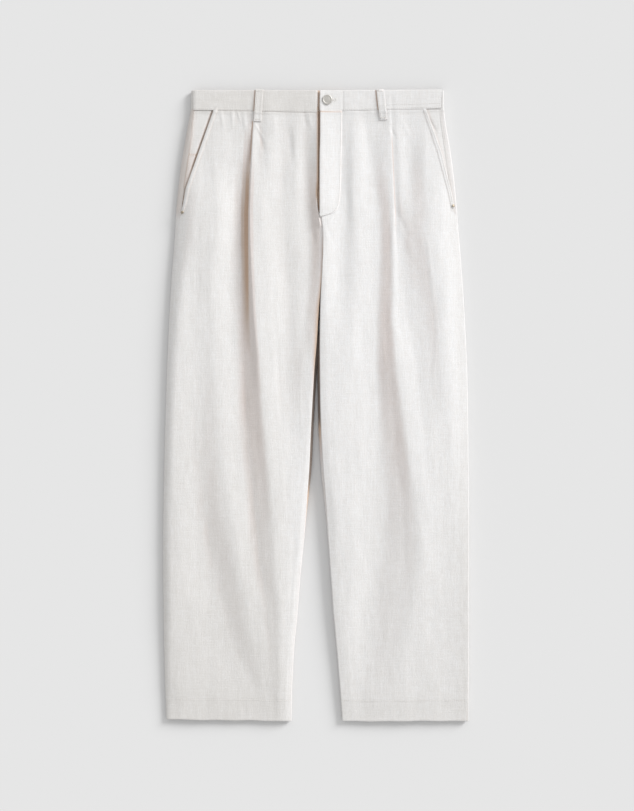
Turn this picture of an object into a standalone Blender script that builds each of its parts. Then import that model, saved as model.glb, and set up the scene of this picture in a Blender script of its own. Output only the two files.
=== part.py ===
"""Pleated denim trousers, laid flat with the front up.

The waist points to +Y, the wearer's left side to +X, and the back rests on the plane Z = 0.
Every panel is a cloth wall. Its outer surface is worked out from the outline, the crown of
each leg and the folds, and its inner surface is the same surface moved in along its normals.
All tables are in millimetres. "drop" is the distance down from the top edge of the waistband.
"""

import math

import bmesh
import bpy
import numpy as np
from mathutils import Vector

MM = 0.001
LENGTH = 1050.8
BAND_DEPTH = 34.0
SEAM_GAP = 0.3
PANEL_TOP = 34.4
HEM_TOP = 1014.4
HEM_DEPTH = 36.4
DENIM = 1.2
BAND_CLOTH = 2.2
HEM_CLOTH = 2.0
SEAM_HEIGHT = 4.6
BACK_CURL = 5.0
FLY_BOTTOM = 211.8
MOUTH_END = 203.0
WELT_CLOTH = 1.9
LOOP_WIDTH = 13.6
LOOP_CLOTH = 1.5
BUTTON_RADIUS = 8.9
BUTTON_X = 18.9
BUTTON_DROP = 17.9
RIVET_RADIUS = 2.5
RIGHT = -1
LEFT = 1

# Contour of each leg: the side, and the inner edge of the leg, or the centre front above the crotch.
OUTLINE = {
    "drop": (0, 34, 60, 101, 134, 168, 204, 237, 277, 304, 334, 367, 417, 466, 516, 569, 632,
             692, 752, 812, 871, 931, 991, 1050.8),
    "right_side": (-207.5, -207.5, -213, -219.9, -225.4, -229.4, -232.6, -234.1, -236.9, -239.4,
                   -241.2, -243.2, -245.7, -247.6, -249.2, -250.8, -252.4, -253.6, -254.1, -254.0,
                   -253.4, -252.4, -251.0, -248.5),
    "right_inner": (8, 8, 8, 8, 8, 8, 8, 8, 7.6, 6, 3, 0.2, -3.5, -5.1, -7.3, -9, -11.1, -15.6,
                    -20.1, -26.1, -30.5, -36.5, -39.5, -41),
    "left_inner": (8.6, 8.6, 8.6, 8.6, 8.6, 8.6, 8.6, 8.6, 9, 10.3, 9.5, 8.5, 8, 8.2, 9.3, 10.6,
                   14.3, 19.8, 24.2, 28.7, 33.2, 39.2, 43.7, 46.5),
    "left_side": (212.5, 212.5, 216, 223.2, 228, 231.5, 234.3, 236.9, 240.2, 242.2, 244.4, 246.5,
                  249, 251.2, 252.3, 252.8, 253.6, 254, 254, 254, 254, 254, 254, 253),
}

# Height of the front over the ground away from the folds, and how far its sides take to round down.
LOFT = {
    "drop": (0, 34, 101, 217, 400, 600, 780, 915, 1000, 1050.8),
    "crown": (12.3, 12.2, 12.8, 14.5, 15.2, 14.2, 13.6, 12.2, 10.8, 10.0),
    "side_round": (12, 12, 16, 20, 22, 20, 18, 14, 11, 9),
    "inner_round": (8, 8, 8, 10, 14, 14, 13, 12, 10, 9),
}

# How far in from the contour the side seams lie on the top, and how far the inner legs round down.
SEAMS = {
    "drop": (0, 34, 101, 176, 204, 237, 277, 320, 1050.8),
    "right_in": (3, 4, 5, 7, 8, 5, 2, 0, 0),
    "left_in": (3, 4, 5, 6, 5, 3, 1, 0, 0),
}
CROTCH_DROP = 304.0
CROTCH_BLEND = 52.0

# Each fold is a soft ridge or trough. "before" and "after" are its widths toward -X and +X.
FOLDS = {
    "right_pleat_trough": (
        RIGHT,
        {
            "drop": (0, 34, 101, 217, 334, 417, 516, 632, 752, 872, 950),
            "x": (-114, -114.5, -114.5, -119.5, -118.7, -116.2, -105.4, -97.1, -83, -66.4, -66.4),
            "before": (14, 14, 18, 22, 24, 28, 28, 26, 24, 18, 14),
            "after": (7, 7, 6, 7, 8, 12, 14, 14, 13, 12, 10),
            "height": (0, -1.2, -3.2, -5, -5, -4.6, -4.2, -4.2, -3.6, -1.6, 0),
        },
    ),
    "right_pleat_crest": (
        RIGHT,
        {
            "drop": (0, 34, 101, 217, 334, 466, 632, 812, 950),
            "x": (-104, -104, -106.2, -110.6, -107.9, -93, -81.3, -60.6, -54.8),
            "before": (7, 7, 6, 7, 9, 14, 14, 12, 12),
            "after": (20, 22, 26, 36, 38, 34, 30, 22, 14),
            "height": (0, 0.8, 2.4, 3.4, 3.4, 2.8, 2.4, 1.4, 0),
        },
    ),
    "right_side_trough": (
        RIGHT,
        {
            "drop": (134, 217, 334, 516, 632, 692, 752, 812, 871, 931, 991, 1030),
            "x": (-179.3, -185.9, -187.6, -187.6, -176, -166, -152.7, -141.1, -127.8, -107.9,
                  -89.6, -84),
            "before": (20, 22, 24, 26, 26, 24, 24, 24, 24, 22, 20, 18),
            "after": (24, 28, 28, 26, 24, 24, 24, 24, 24, 22, 18, 16),
            "height": (0, -1.6, -3, -3, -3.4, -3.8, -3.8, -3.8, -3.6, -3, -1.6, 0),
        },
    ),
    "right_centre_trough": (
        RIGHT,
        {
            "drop": (60, 120, 217, 300, 400),
            "x": (-43, -43, -45, -46, -46),
            "before": (12, 14, 16, 16, 14),
            "after": (12, 14, 16, 16, 14),
            "height": (0, -1, -1.6, -1.4, 0),
        },
    ),
    "left_broad_crest": (
        LEFT,
        {
            "drop": (0, 34, 136, 330, 516, 632, 752, 915, 998),
            "x": (78, 78, 81.3, 81.3, 78, 69.7, 62.6, 60, 63),
            "before": (14, 15, 18, 20, 22, 22, 20, 18, 16),
            "after": (14, 14, 15, 16, 20, 22, 22, 20, 18),
            "height": (0, 0.8, 2.8, 3.4, 3.2, 2.8, 2.4, 1.4, 0),
        },
    ),
    "left_pleat_trough": (
        LEFT,
        {
            "drop": (0, 34, 136, 251, 410, 516, 632, 737, 782, 848, 915, 998, 1035),
            "x": (107, 107.5, 107.9, 111.2, 110.4, 118.7, 127.8, 139.4, 141.1, 127.8, 119.5,
                  107.9, 105),
            "before": (12, 13, 14, 15, 16, 20, 24, 28, 28, 26, 24, 20, 16),
            "after": (8, 9, 14, 16, 18, 20, 22, 22, 22, 22, 20, 18, 14),
            "height": (0, -1.4, -3.4, -5, -5, -4.8, -5, -5, -5, -4.6, -3.6, -1.4, 0),
        },
    ),
    "left_pleat_crest": (
        LEFT,
        {
            "drop": (0, 34, 136, 186, 251, 410, 463, 516, 569, 640),
            "x": (121, 121, 125.8, 130.8, 133.6, 136.5, 147, 157, 164, 165),
            "before": (8, 9, 10, 12, 14, 16, 18, 20, 20, 18),
            "after": (14, 16, 22, 24, 24, 24, 24, 24, 22, 18),
            "height": (0, 0.9, 3, 3.6, 3.8, 3.6, 3, 2.4, 1.4, 0),
        },
    ),
    "left_fly_trough": (
        LEFT,
        {
            "drop": (50, 100, 186, 280, 345),
            "x": (56, 55, 55, 58, 58),
            "before": (9, 10, 12, 12, 10),
            "after": (9, 11, 14, 12, 10),
            "height": (0, -1, -2, -1.2, 0),
        },
    ),
    "left_side_trough": (
        LEFT,
        {
            "drop": (50, 136, 240, 300),
            "x": (166, 176, 178, 178),
            "before": (11, 12, 14, 12),
            "after": (12, 14, 16, 14),
            "height": (0, -1.5, -1.4, 0),
        },
    ),
}

# Lines that the columns of each front follow, so that its pleat keeps a sharp edge.
RIGHT_GUIDES = ("right_side_trough", "right_pleat_trough", "right_pleat_crest")
LEFT_GUIDES = ("left_pleat_crest", "left_pleat_trough", "left_broad_crest")
RIGHT_SPANS = (4, 5, 2, 6)
LEFT_SPANS = (5, 2, 4, 4)
GUIDE_GAP = 9.0

# Slanted pocket mouths: the edge of the opening, and the other side of the welt that binds it.
RIGHT_MOUTH = {
    "drop": (34, 106, 166, 190, 204, 214),
    "opening": (-170.5, -195.9, -215.8, -219.4, -222.2, -224.0),
    "welt": (-164.2, -189.8, -210.2, -215.2, -219.6, -224.0),
}
LEFT_MOUTH = {
    "drop": (34, 106, 176, 194, 204, 214),
    "opening": (182.9, 208.5, 225.8, 228.4, 229.6, 231.8),
    "welt": (178.7, 202.5, 221.2, 224.8, 227.4, 231.8),
}
FACING_UNDERLAP = 15.0

# The fly: the stitched J on the left front, and the edge of the right front beside it.
FLY_CURVE = {
    "drop": (34, 101, 151, 176, 192.6, 202.5, 208.8, FLY_BOTTOM),
    "x": (43.3, 42.3, 41.2, 40.2, 37.8, 33.2, 23.2, 10.6),
}
RIGHT_FRONT_EDGE = {
    "drop": (0, 150, 166, 190, 221, 240),
    "x": (2.6, 2.6, 0.4, 1.4, 5.6, 8.0),
}
SHIELD_EDGE = {
    "drop": (34, 160, 195, 215, 222),
    "x": (45, 45, 38, 22, 14),
}

PANEL_DROPS = (PANEL_TOP, 46, 58, 76, 101, 128, 151, 176, 192.6, 202.5, 208.8, 214.4, 226, 250,
               277, 304, 334, 370, 417, 466, 516, 569, 632, 692, 737, 782, 830, 880, 931, 975,
               HEM_TOP - SEAM_GAP - 0.1)
FLY_DROPS = (PANEL_TOP, 46, 58, 76, 101, 128, 151, 176, 192.6, 202.5, 208.8, FLY_BOTTOM)


def read(table, column, drop):
    """Value of a table's column at a drop, straight between its rows."""
    return float(np.interp(drop, table["drop"], table[column]))


def ease(share):
    """Smooth step from 0 to 1."""
    share = min(max(share, 0.0), 1.0)
    return share * share * (3.0 - 2.0 * share)


def side_name(side):
    return "right" if side == RIGHT else "left"


def side_contour(side, drop):
    return read(OUTLINE, side_name(side) + "_side", drop)


def inner_contour(side, drop):
    return read(OUTLINE, side_name(side) + "_inner", drop)


def leg_share(drop):
    """0 above the crotch, where the fronts meet flat, and 1 below, where each leg rounds down."""
    return ease((drop - CROTCH_DROP + CROTCH_BLEND) / (2.0 * CROTCH_BLEND))


def fold_height(side, x, drop):
    """Sum of the ridges and troughs at a point of the front."""
    total = 0.0
    for fold_side, table in FOLDS.values():
        if fold_side != side or drop < table["drop"][0] or drop > table["drop"][-1]:
            continue
        offset = x - read(table, "x", drop)
        width = read(table, "before" if offset < 0 else "after", drop)
        if abs(offset) < width:
            total += read(table, "height", drop) * 0.5 * (1.0 + math.cos(math.pi * offset / width))
    return total


def rounding(distance, width):
    """Quarter ellipse: 0 at the contour, 1 where the front has reached its full height."""
    share = 1.0 - min(max(distance / width, 0.0), 1.0)
    return math.sqrt(max(0.0, 1.0 - share * share))


def front_height(side, x, drop):
    """Height of the front's outer surface."""
    crown = read(LOFT, "crown", drop) + fold_height(side, x, drop)
    at_side = rounding(abs(side_contour(side, drop) - x), read(LOFT, "side_round", drop))
    height = SEAM_HEIGHT + (crown - SEAM_HEIGHT) * at_side
    inside = (x - inner_contour(side, drop)) * side
    at_inner = rounding(inside, read(LOFT, "inner_round", drop))
    return height - leg_share(drop) * (height - SEAM_HEIGHT) * (1.0 - at_inner)


def place(x, drop, height):
    return np.array((x, LENGTH / 2.0 - drop, height))


def on_front(side, x, drop):
    return place(x, drop, front_height(side, x, drop))


def panel_edge(side, drop):
    """Outer edge of a front panel: the pocket's welt, then the side seam."""
    seam = side_contour(side, drop) - side * read(SEAMS, side_name(side) + "_in", drop)
    if drop >= 210.0:
        return seam
    mouth = RIGHT_MOUTH if side == RIGHT else LEFT_MOUTH
    return read(mouth, "welt", drop) - side * SEAM_GAP


def panel_inner_edge(side, drop):
    """Inner edge of a front panel: beside the fly, the centre seam, then the inner leg."""
    if side == RIGHT:
        return min(inner_contour(side, drop), read(RIGHT_FRONT_EDGE, "x", drop))
    if drop < FLY_BOTTOM + 3.0:
        return max(read(FLY_CURVE, "x", drop - 0.4) + 0.35, inner_contour(side, drop))
    return inner_contour(side, drop)


def front_point(side, guides, spans, across, drop, cover=(panel_edge, panel_inner_edge)):
    """Point of a front. across runs from 0 at the side to 3 at the inner edge."""
    outer = cover[0](side, drop)
    inner = cover[1](side, drop)
    outer_end = side_contour(side, drop) - side * read(LOFT, "side_round", drop)
    if (outer_end - outer) * side > -10.0:
        outer_end = outer - side * 10.0
    inner_end = inner + side * read(LOFT, "inner_round", drop)
    if across <= 1.0:
        x = outer + (outer_end - outer) * (1.0 - math.cos(math.pi / 2.0 * across))
    elif across >= 2.0:
        x = inner + (inner_end - inner) * (1.0 - math.cos(math.pi / 2.0 * (3.0 - across)))
    else:
        lines = [outer_end]
        for name in guides:
            passed = (lines[-1] - read(FOLDS[name][1], "x", drop)) * -side
            lines.append(lines[-1] - side * max(-passed, GUIDE_GAP))
        lines.append(inner_end)
        counts = np.cumsum((0,) + spans) / sum(spans)
        x = float(np.interp(across - 1.0, counts, lines))
    return on_front(side, x, drop)


def back_point(side, across, drop):
    """Point of a back. across runs from 0 at the side seam, over the fold, to 3 at the inner edge."""
    contour = side_contour(side, drop)
    if across <= 1.0:
        seam_in = max(0.0, read(SEAMS, side_name(side) + "_in", drop) - SEAM_GAP)
        top_round = read(LOFT, "side_round", drop)
        start = 0.97 + math.acos(1.0 - min(1.0, seam_in / top_round)) * 2.0 / math.pi
        turn = start * (1.0 - across)
        if turn > 1.0:
            x = contour - side * top_round * (1.0 - math.cos((turn - 1.0) * math.pi / 2.0))
            return on_front(side, x, drop)
        angle = turn * math.pi / 2.0
        x = contour - side * BACK_CURL * (1.0 - math.sin(angle))
        return place(x, drop, SEAM_HEIGHT * (1.0 - math.cos(angle)))
    inner = inner_contour(side, drop)
    if across >= 2.0:
        angle = (across - 2.0) * 0.97 * math.pi / 2.0
        x = inner + side * BACK_CURL * (1.0 - math.sin(angle))
        return place(x, drop, SEAM_HEIGHT * leg_share(drop) * (1.0 - math.cos(angle)))
    start = contour - side * BACK_CURL
    end = inner + side * BACK_CURL
    return place(start + (end - start) * (across - 1.0), drop, 0.0)


def wall(name, point, columns, drops, cloth, raise_by, upward, material):
    """Closed cloth wall under the surface point(across, drop), which it follows.

    raise_by moves the outer face out from that surface, and cloth is the wall's thickness.
    """
    step = 0.012

    def normal_at(across, drop):
        low = max(columns[0], across - step)
        high = min(columns[-1], across + step)
        along = point(high, drop) - point(low, drop)
        down = point(across, min(drop + 1.0, LENGTH)) - point(across, max(drop - 1.0, 0.0))
        normal = np.cross(along, down)
        return normal / np.linalg.norm(normal)

    middle = normal_at(columns[len(columns) // 2], drops[len(drops) // 2])
    turn = 1.0 if middle[2] * upward > 0.0 else -1.0
    grid = bmesh.new()
    faces_of = []
    for depth in (raise_by, raise_by - cloth):
        rows = []
        for drop in drops:
            row = []
            for across in columns:
                spot = point(across, drop) + normal_at(across, drop) * turn * depth
                row.append(grid.verts.new(Vector(spot * MM)))
            rows.append(row)
        faces_of.append(rows)
    outer, inner = faces_of
    last_row = len(drops) - 1
    last_column = len(columns) - 1
    for i in range(last_row):
        for j in range(last_column):
            grid.faces.new((outer[i][j], outer[i + 1][j], outer[i + 1][j + 1], outer[i][j + 1]))
            grid.faces.new((inner[i][j], inner[i][j + 1], inner[i + 1][j + 1], inner[i + 1][j]))
    for i in range(last_row):
        for j in (0, last_column):
            grid.faces.new((outer[i][j], inner[i][j], inner[i + 1][j], outer[i + 1][j]))
    for j in range(last_column):
        for i in (0, last_row):
            grid.faces.new((outer[i][j], outer[i][j + 1], inner[i][j + 1], inner[i][j]))
    return finish(name, grid, material)


def finish(name, grid, material):
    """Turn a bmesh into a named object with its faces pointing out."""
    bmesh.ops.recalc_face_normals(grid, faces=grid.faces)
    mesh = bpy.data.meshes.new(name)
    grid.to_mesh(mesh)
    grid.free()
    mesh.shade_smooth()
    mesh.set_sharp_from_angle(angle=math.radians(50.0))
    mesh.materials.append(material)
    piece = bpy.data.objects.new(name, mesh)
    bpy.context.scene.collection.objects.link(piece)
    return piece


def turned(name, profile, turns, material):
    """Solid of revolution about Z from (radius, height) pairs that start and end on the axis."""
    grid = bmesh.new()
    rings = []
    for radius, height in profile:
        if radius < 1e-6:
            rings.append([grid.verts.new((0.0, 0.0, height * MM))])
            continue
        ring = []
        for k in range(turns):
            angle = 2.0 * math.pi * k / turns
            spot = Vector((radius * math.cos(angle), radius * math.sin(angle), height)) * MM
            ring.append(grid.verts.new(spot))
        rings.append(ring)
    for low, high in zip(rings, rings[1:]):
        for k in range(turns):
            after = (k + 1) % turns
            corners = [low[k % len(low)], low[after % len(low)], high[after % len(high)],
                       high[k % len(high)]]
            grid.faces.new(list(dict.fromkeys(corners)))
    return finish(name, grid, material)


def material_of(name, colour, roughness, metallic=0.0):
    """Principled material with the given finish."""
    material = bpy.data.materials.new(name)
    material.use_nodes = True
    shader = material.node_tree.nodes["Principled BSDF"]
    shader.inputs["Base Color"].default_value = (*colour, 1.0)
    shader.inputs["Roughness"].default_value = roughness
    shader.inputs["Metallic"].default_value = metallic
    return material


def spaced(start, stop, count):
    return [start + (stop - start) * k / count for k in range(count + 1)]


def front_columns(spans):
    """Positions across a front: the rounded side, the columns between its folds, the inner edge."""
    return [0.02] + spaced(0.34, 1.0, 2) + spaced(1.0, 2.0, sum(spans))[1:] + [2.34, 2.67, 2.98]


def build_panels(side, denim):
    """The front and back panel and both halves of the hem of one leg."""
    name = side_name(side)
    guides = RIGHT_GUIDES if side == RIGHT else LEFT_GUIDES
    spans = RIGHT_SPANS if side == RIGHT else LEFT_SPANS
    columns = front_columns(spans)
    back_columns = spaced(0.0, 1.0, 4) + spaced(1.0, 2.0, 3)[1:] + [2.34, 2.67, 3.0]
    hem_drops = (HEM_TOP, HEM_TOP + 12.0, LENGTH)

    def front(across, drop):
        return front_point(side, guides, spans, across, drop)

    def back(across, drop):
        return back_point(side, across, drop)

    wall("front_" + name, front, columns, PANEL_DROPS, DENIM, 0.0, 1, denim)
    wall("back_" + name, back, back_columns, PANEL_DROPS, DENIM, 0.0, -1, denim)
    wall("hem_front_" + name, front, columns, hem_drops, HEM_CLOTH, 0.0, 1, denim)
    wall("hem_back_" + name, back, back_columns, hem_drops, HEM_CLOTH, 0.0, -1, denim)


def build_waistband(denim):
    """The two fronts of the waistband, the left lapped over the right, and its back."""
    drops = (0.0, 5.0, 20.0, BAND_DEPTH)

    def seam_edge(side, drop):
        return side_contour(side, drop) - side * read(SEAMS, side_name(side) + "_in", drop)

    def right_half(across, drop):
        edge = seam_edge(RIGHT, drop)
        x = edge + (46.0 - edge) * across
        sunk = (BAND_CLOTH + 0.4) * ease((x + 2.0) / 8.0)
        height = front_height(RIGHT if x < 8.0 else LEFT, x, drop)
        return place(x, drop, height - sunk)

    def left_half(across, drop):
        edge = seam_edge(LEFT, drop)
        return on_front(LEFT, edge + (7.0 - edge) * across, drop)

    def back(across, drop):
        if across < 1.0:
            return back_point(RIGHT, across, drop)
        if across > 2.0:
            return back_point(LEFT, 3.0 - across, drop)
        start = side_contour(RIGHT, drop) + BACK_CURL
        end = side_contour(LEFT, drop) - BACK_CURL
        return place(start + (end - start) * (across - 1.0), drop, 0.0)

    right_columns = [0.0, 0.012, 0.026, 0.05] + spaced(0.1, 0.8, 8) + [0.812, 0.82, 0.832, 0.9, 1.0]
    left_columns = [0.0, 0.015, 0.035, 0.06] + spaced(0.12, 1.0, 10)
    back_columns = spaced(0.0, 1.0, 4) + spaced(1.0, 2.0, 4)[1:] + spaced(2.0, 3.0, 4)[1:]
    wall("waistband_right", right_half, right_columns, drops, BAND_CLOTH, 0.3, 1, denim)
    left = wall("waistband_left", left_half, left_columns, drops, BAND_CLOTH, 0.3, 1, denim)
    wall("waistband_back", back, back_columns, drops, BAND_CLOTH, 0.0, -1, denim)
    return left


def cut_buttonhole(band, denim):
    """Keyhole through the lapped end of the waistband, round under the button."""
    grid = bmesh.new()
    height = front_height(LEFT, BUTTON_X, BUTTON_DROP)
    for low in (height - 6.0, height + 6.0):
        for k in range(10):
            angle = math.radians(35.0 + 290.0 * k / 9.0)
            x = BUTTON_X + 3.3 * math.cos(angle)
            y = LENGTH / 2.0 - BUTTON_DROP + 3.3 * math.sin(angle)
            grid.verts.new(Vector((x, y, low)) * MM)
        for offset in (-1.3, 1.3):
            spot = Vector((BUTTON_X + 13.0, LENGTH / 2.0 - BUTTON_DROP + offset, low)) * MM
            grid.verts.new(spot)
    grid.verts.ensure_lookup_table()
    count = 12
    lower = [grid.verts[k] for k in range(count)]
    upper = [grid.verts[k + count] for k in range(count)]
    grid.faces.new(list(reversed(lower)))
    grid.faces.new(upper)
    for k in range(count):
        after = (k + 1) % count
        grid.faces.new((lower[k], lower[after], upper[after], upper[k]))
    cutter = finish("buttonhole_cutter", grid, denim)
    cutter.hide_render = True
    cutter.display_type = "WIRE"
    cut = band.modifiers.new("buttonhole", "BOOLEAN")
    cut.operation = "DIFFERENCE"
    cut.object = cutter


def build_fly(denim):
    """The stitched fly on the left front and the shield behind it."""

    def fly(across, drop):
        start = 8.9 if drop > 38.0 else 7.6
        x = start + (read(FLY_CURVE, "x", drop) - start) * across
        return on_front(LEFT, x, drop)

    def shield(across, drop):
        x = -5.0 + (read(SHIELD_EDGE, "x", drop) + 5.0) * across
        blend = ease((x - 4.0) / 8.0)
        low = front_height(RIGHT, min(x, 8.0), drop)
        high = front_height(LEFT, max(x, 8.6), drop)
        return place(x, drop, low + (high - low) * blend)

    wall("fly", fly, spaced(0.0, 1.0, 5), FLY_DROPS, 1.6, 0.3, 1, denim)
    shield_drops = (PANEL_TOP, 58, 101, 151, 176, 195, 208, 222)
    wall("fly_shield", shield, spaced(0.0, 1.0, 5), shield_drops, DENIM, -1.75, 1, denim)


def build_pocket(side, denim, lining):
    """The facing that shows in a slanted pocket's mouth, and the welt that binds its edge."""
    name = side_name(side)
    mouth = RIGHT_MOUTH if side == RIGHT else LEFT_MOUTH
    drops = (PANEL_TOP, 58, 82, 106, 128, 151, 176, 192, MOUTH_END)

    def facing(across, drop):
        seam = side_contour(side, drop) - side * read(SEAMS, side_name(side) + "_in", drop)
        start = seam + side * 1.6
        end = read(mouth, "welt", drop) - side * FACING_UNDERLAP
        return on_front(side, start + (end - start) * across, drop)

    def welt(across, drop):
        start = read(mouth, "opening", drop)
        end = read(mouth, "welt", drop)
        return on_front(side, start + (end - start) * across, drop)

    wall("pocket_facing_" + name, facing, spaced(0.0, 1.0, 6), drops, 1.0, -1.9, 1, lining)
    wall("pocket_welt_" + name, welt, spaced(0.0, 1.0, 2), drops, WELT_CLOTH, 0.3, 1, denim)


def build_loop(name, top_x, bottom_x, bottom_drop, denim):
    """Belt loop lying over the waistband and sewn to it above and below."""

    def strip(across, drop):
        centre = top_x + (bottom_x - top_x) * drop / bottom_drop
        x = centre + LOOP_WIDTH * (across - 0.5)
        side = RIGHT if centre < 0.0 else LEFT
        lift = 0.9 * math.sin(math.pi * min(drop / bottom_drop, 1.0))
        return on_front(side, x, drop) + np.array((0.0, 0.0, lift))

    drops = (0.6, 8.0, 18.0, 28.0, 36.0, 44.0, bottom_drop)
    wall(name, strip, spaced(0.0, 1.0, 3), drops, LOOP_CLOTH, 0.75 + LOOP_CLOTH, 1, denim)


def build_button(metal):
    """Shank button: a domed cap with a rolled rim, its neck down through the buttonhole."""
    band_top = front_height(LEFT, BUTTON_X, BUTTON_DROP) + 0.3
    neck_end = band_top - BAND_CLOTH - 0.05
    profile = ((0.0, 0.0), (2.2, 0.0), (2.2, 2.6), (7.6, 2.6), (8.6, 3.0), (BUTTON_RADIUS, 3.8),
               (8.5, 4.7), (7.4, 5.1), (6.7, 4.8), (4.0, 5.2), (0.0, 5.4))
    button = turned("button", profile, 28, metal)
    button.location = Vector(place(BUTTON_X, BUTTON_DROP, neck_end)) * MM


def build_rivet(side, x, drop, metal):
    """Small burr at the lower end of a pocket mouth, set square to the cloth."""
    profile = ((0.0, 0.0), (RIVET_RADIUS, 0.0), (RIVET_RADIUS, 0.5), (1.9, 1.0), (0.9, 1.1), (0.0, 0.8))
    rivet = turned("rivet_" + side_name(side), profile, 16, metal)
    here = on_front(side, x, drop)
    along = on_front(side, x + 1.5, drop) - on_front(side, x - 1.5, drop)
    down = on_front(side, x, drop + 1.5) - on_front(side, x, drop - 1.5)
    normal = Vector(np.cross(down, along)).normalized()
    rivet.location = (Vector(here) + normal * 0.75) * MM
    rivet.rotation_euler = Vector((0.0, 0.0, 1.0)).rotation_difference(normal).to_euler()


def build():
    for thing in list(bpy.data.objects):
        bpy.data.objects.remove(thing)
    denim = material_of("ecru_denim", (0.80, 0.76, 0.69), 0.9)
    band_denim = material_of("ecru_denim_band", (0.81, 0.77, 0.70), 0.9)
    facing_denim = material_of("ecru_denim_facing", (0.77, 0.73, 0.66), 0.92)
    steel = material_of("brushed_steel", (0.62, 0.60, 0.56), 0.35, 1.0)
    brass = material_of("dull_brass", (0.48, 0.38, 0.24), 0.45, 1.0)
    for side in (RIGHT, LEFT):
        build_panels(side, denim)
        build_pocket(side, denim, facing_denim)
    band = build_waistband(band_denim)
    cut_buttonhole(band, band_denim)
    build_fly(denim)
    build_loop("belt_loop_right", -93.8, -96.9, 53.5, band_denim)
    build_loop("belt_loop_left", 106.4, 112.2, 50.5, band_denim)
    build_button(steel)
    build_rivet(RIGHT, -221.6, 205.0, brass)
    build_rivet(LEFT, 227.6, 194.0, brass)


build()
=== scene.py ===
"""Looks of a pair of pleated denim trousers that lie flat with the front up.

The waist points to +Y, the wearer's left side to +X, and the back rests on the plane Z = 0.
Sizes in the tables are millimetres. "drop" is the distance down from the waistband's top edge.
"""

from __future__ import annotations

import logging
import math
from dataclasses import dataclass, field
from enum import Enum
from typing import Mapping, Sequence

import bpy
import numpy as np
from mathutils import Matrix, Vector

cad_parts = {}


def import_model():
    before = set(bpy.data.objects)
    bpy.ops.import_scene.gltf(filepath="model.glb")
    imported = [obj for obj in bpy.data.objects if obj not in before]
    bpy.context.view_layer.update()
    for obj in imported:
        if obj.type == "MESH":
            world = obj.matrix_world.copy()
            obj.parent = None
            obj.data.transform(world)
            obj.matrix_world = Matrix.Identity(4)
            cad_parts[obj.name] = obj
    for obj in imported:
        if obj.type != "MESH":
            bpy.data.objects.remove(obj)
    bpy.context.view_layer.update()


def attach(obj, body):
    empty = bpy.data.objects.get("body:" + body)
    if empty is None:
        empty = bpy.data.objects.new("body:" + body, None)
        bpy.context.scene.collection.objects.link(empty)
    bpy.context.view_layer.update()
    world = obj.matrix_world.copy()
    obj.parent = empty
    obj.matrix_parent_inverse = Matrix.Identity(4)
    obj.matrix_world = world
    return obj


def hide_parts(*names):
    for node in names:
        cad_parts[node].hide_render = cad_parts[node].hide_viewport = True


LOG = logging.getLogger("trousers")
MM = 0.001
LENGTH = 1050.8
BAND_END = 34.0
HEM_START = 1014.4
BACK_CURL = 5.0
DEEP = 0.84  # painted shade of a gap that lies in full shade
BAND_FACE = 0.72  # the waistband's face over the front
CURL_CUT = 9  # columns of the inner curl that the waistband's back leaves out
FLY_BOTTOM = 211.8
CROTCH = 304.0

Array = np.ndarray
Table = Mapping[str, Sequence[float]]


class Side(Enum):
    """Side of the wearer, with the sign of its X."""

    RIGHT = -1
    LEFT = 1

    @property
    def word(self) -> str:
        """Name of the side in lower case."""
        return self.name.lower()


class Track:
    """One column of a table, read smoothly along the drop."""

    def __init__(self, drops: Sequence[float], values: Sequence[float], blur: float = 7.0) -> None:
        """Sample the column every millimetre and soften its corners.

        Args:
            drops: Where the rows of the table lie.
            values: The column's values in those rows.
            blur: Width of the softening, in millimetres.
        """
        reach = int(4 * blur)
        self.grid = np.arange(-reach - 10, LENGTH + reach + 11, 1.0)
        raw = np.interp(self.grid, drops, values)
        kernel = np.exp(-0.5 * (np.arange(-reach, reach + 1) / max(blur, 1e-6)) ** 2)
        padded = np.pad(raw, reach, mode="reflect", reflect_type="odd")
        self.samples = np.convolve(padded, kernel / kernel.sum(), mode="valid")

    def __call__(self, drop: Array | float) -> Array:
        """Values of the column at these drops."""
        return np.interp(drop, self.grid, self.samples)


OUTLINE: Table = {
    "drop": (0, 34, 60, 101, 134, 168, 204, 237, 277, 304, 334, 367, 417, 466, 516, 569, 632,
             692, 752, 812, 871, 931, 991, 1050.8),
    "right_side": (-207.5, -207.5, -213, -219.9, -225.4, -229.4, -232.6, -234.1, -236.9, -239.4,
                   -241.2, -243.2, -245.7, -247.6, -249.2, -250.8, -252.4, -253.6, -254.1, -254.0,
                   -253.4, -252.4, -251.0, -248.5),
    "right_inner": (8, 8, 8, 8, 8, 8, 11.0, 13.8, 13.3, 11.0, 8.2, 5.0, 1.9, -2.6, -5.6, -8.4,
                    -11.1, -15.6, -20.1, -26.1, -30.5, -36.5, -39.5, -41),
    "left_inner": (8.6, 8.6, 8.6, 8.6, 8.6, 8.6, 8.8, 12.6, 12.4, 9.9, 7.9, 6.6, 6.0, 6.1, 6.8, 8.2,
                   11.9, 16.8, 20.6, 24.8, 29.0, 34.6, 39.6, 44.0),
    "left_side": (212.5, 212.5, 216, 223.2, 228, 231.5, 234.3, 236.9, 240.2, 242.2, 244.4, 246.5,
                  249, 251.2, 252.3, 252.8, 253.6, 254, 254, 254, 254, 254, 254, 253),
}
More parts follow.
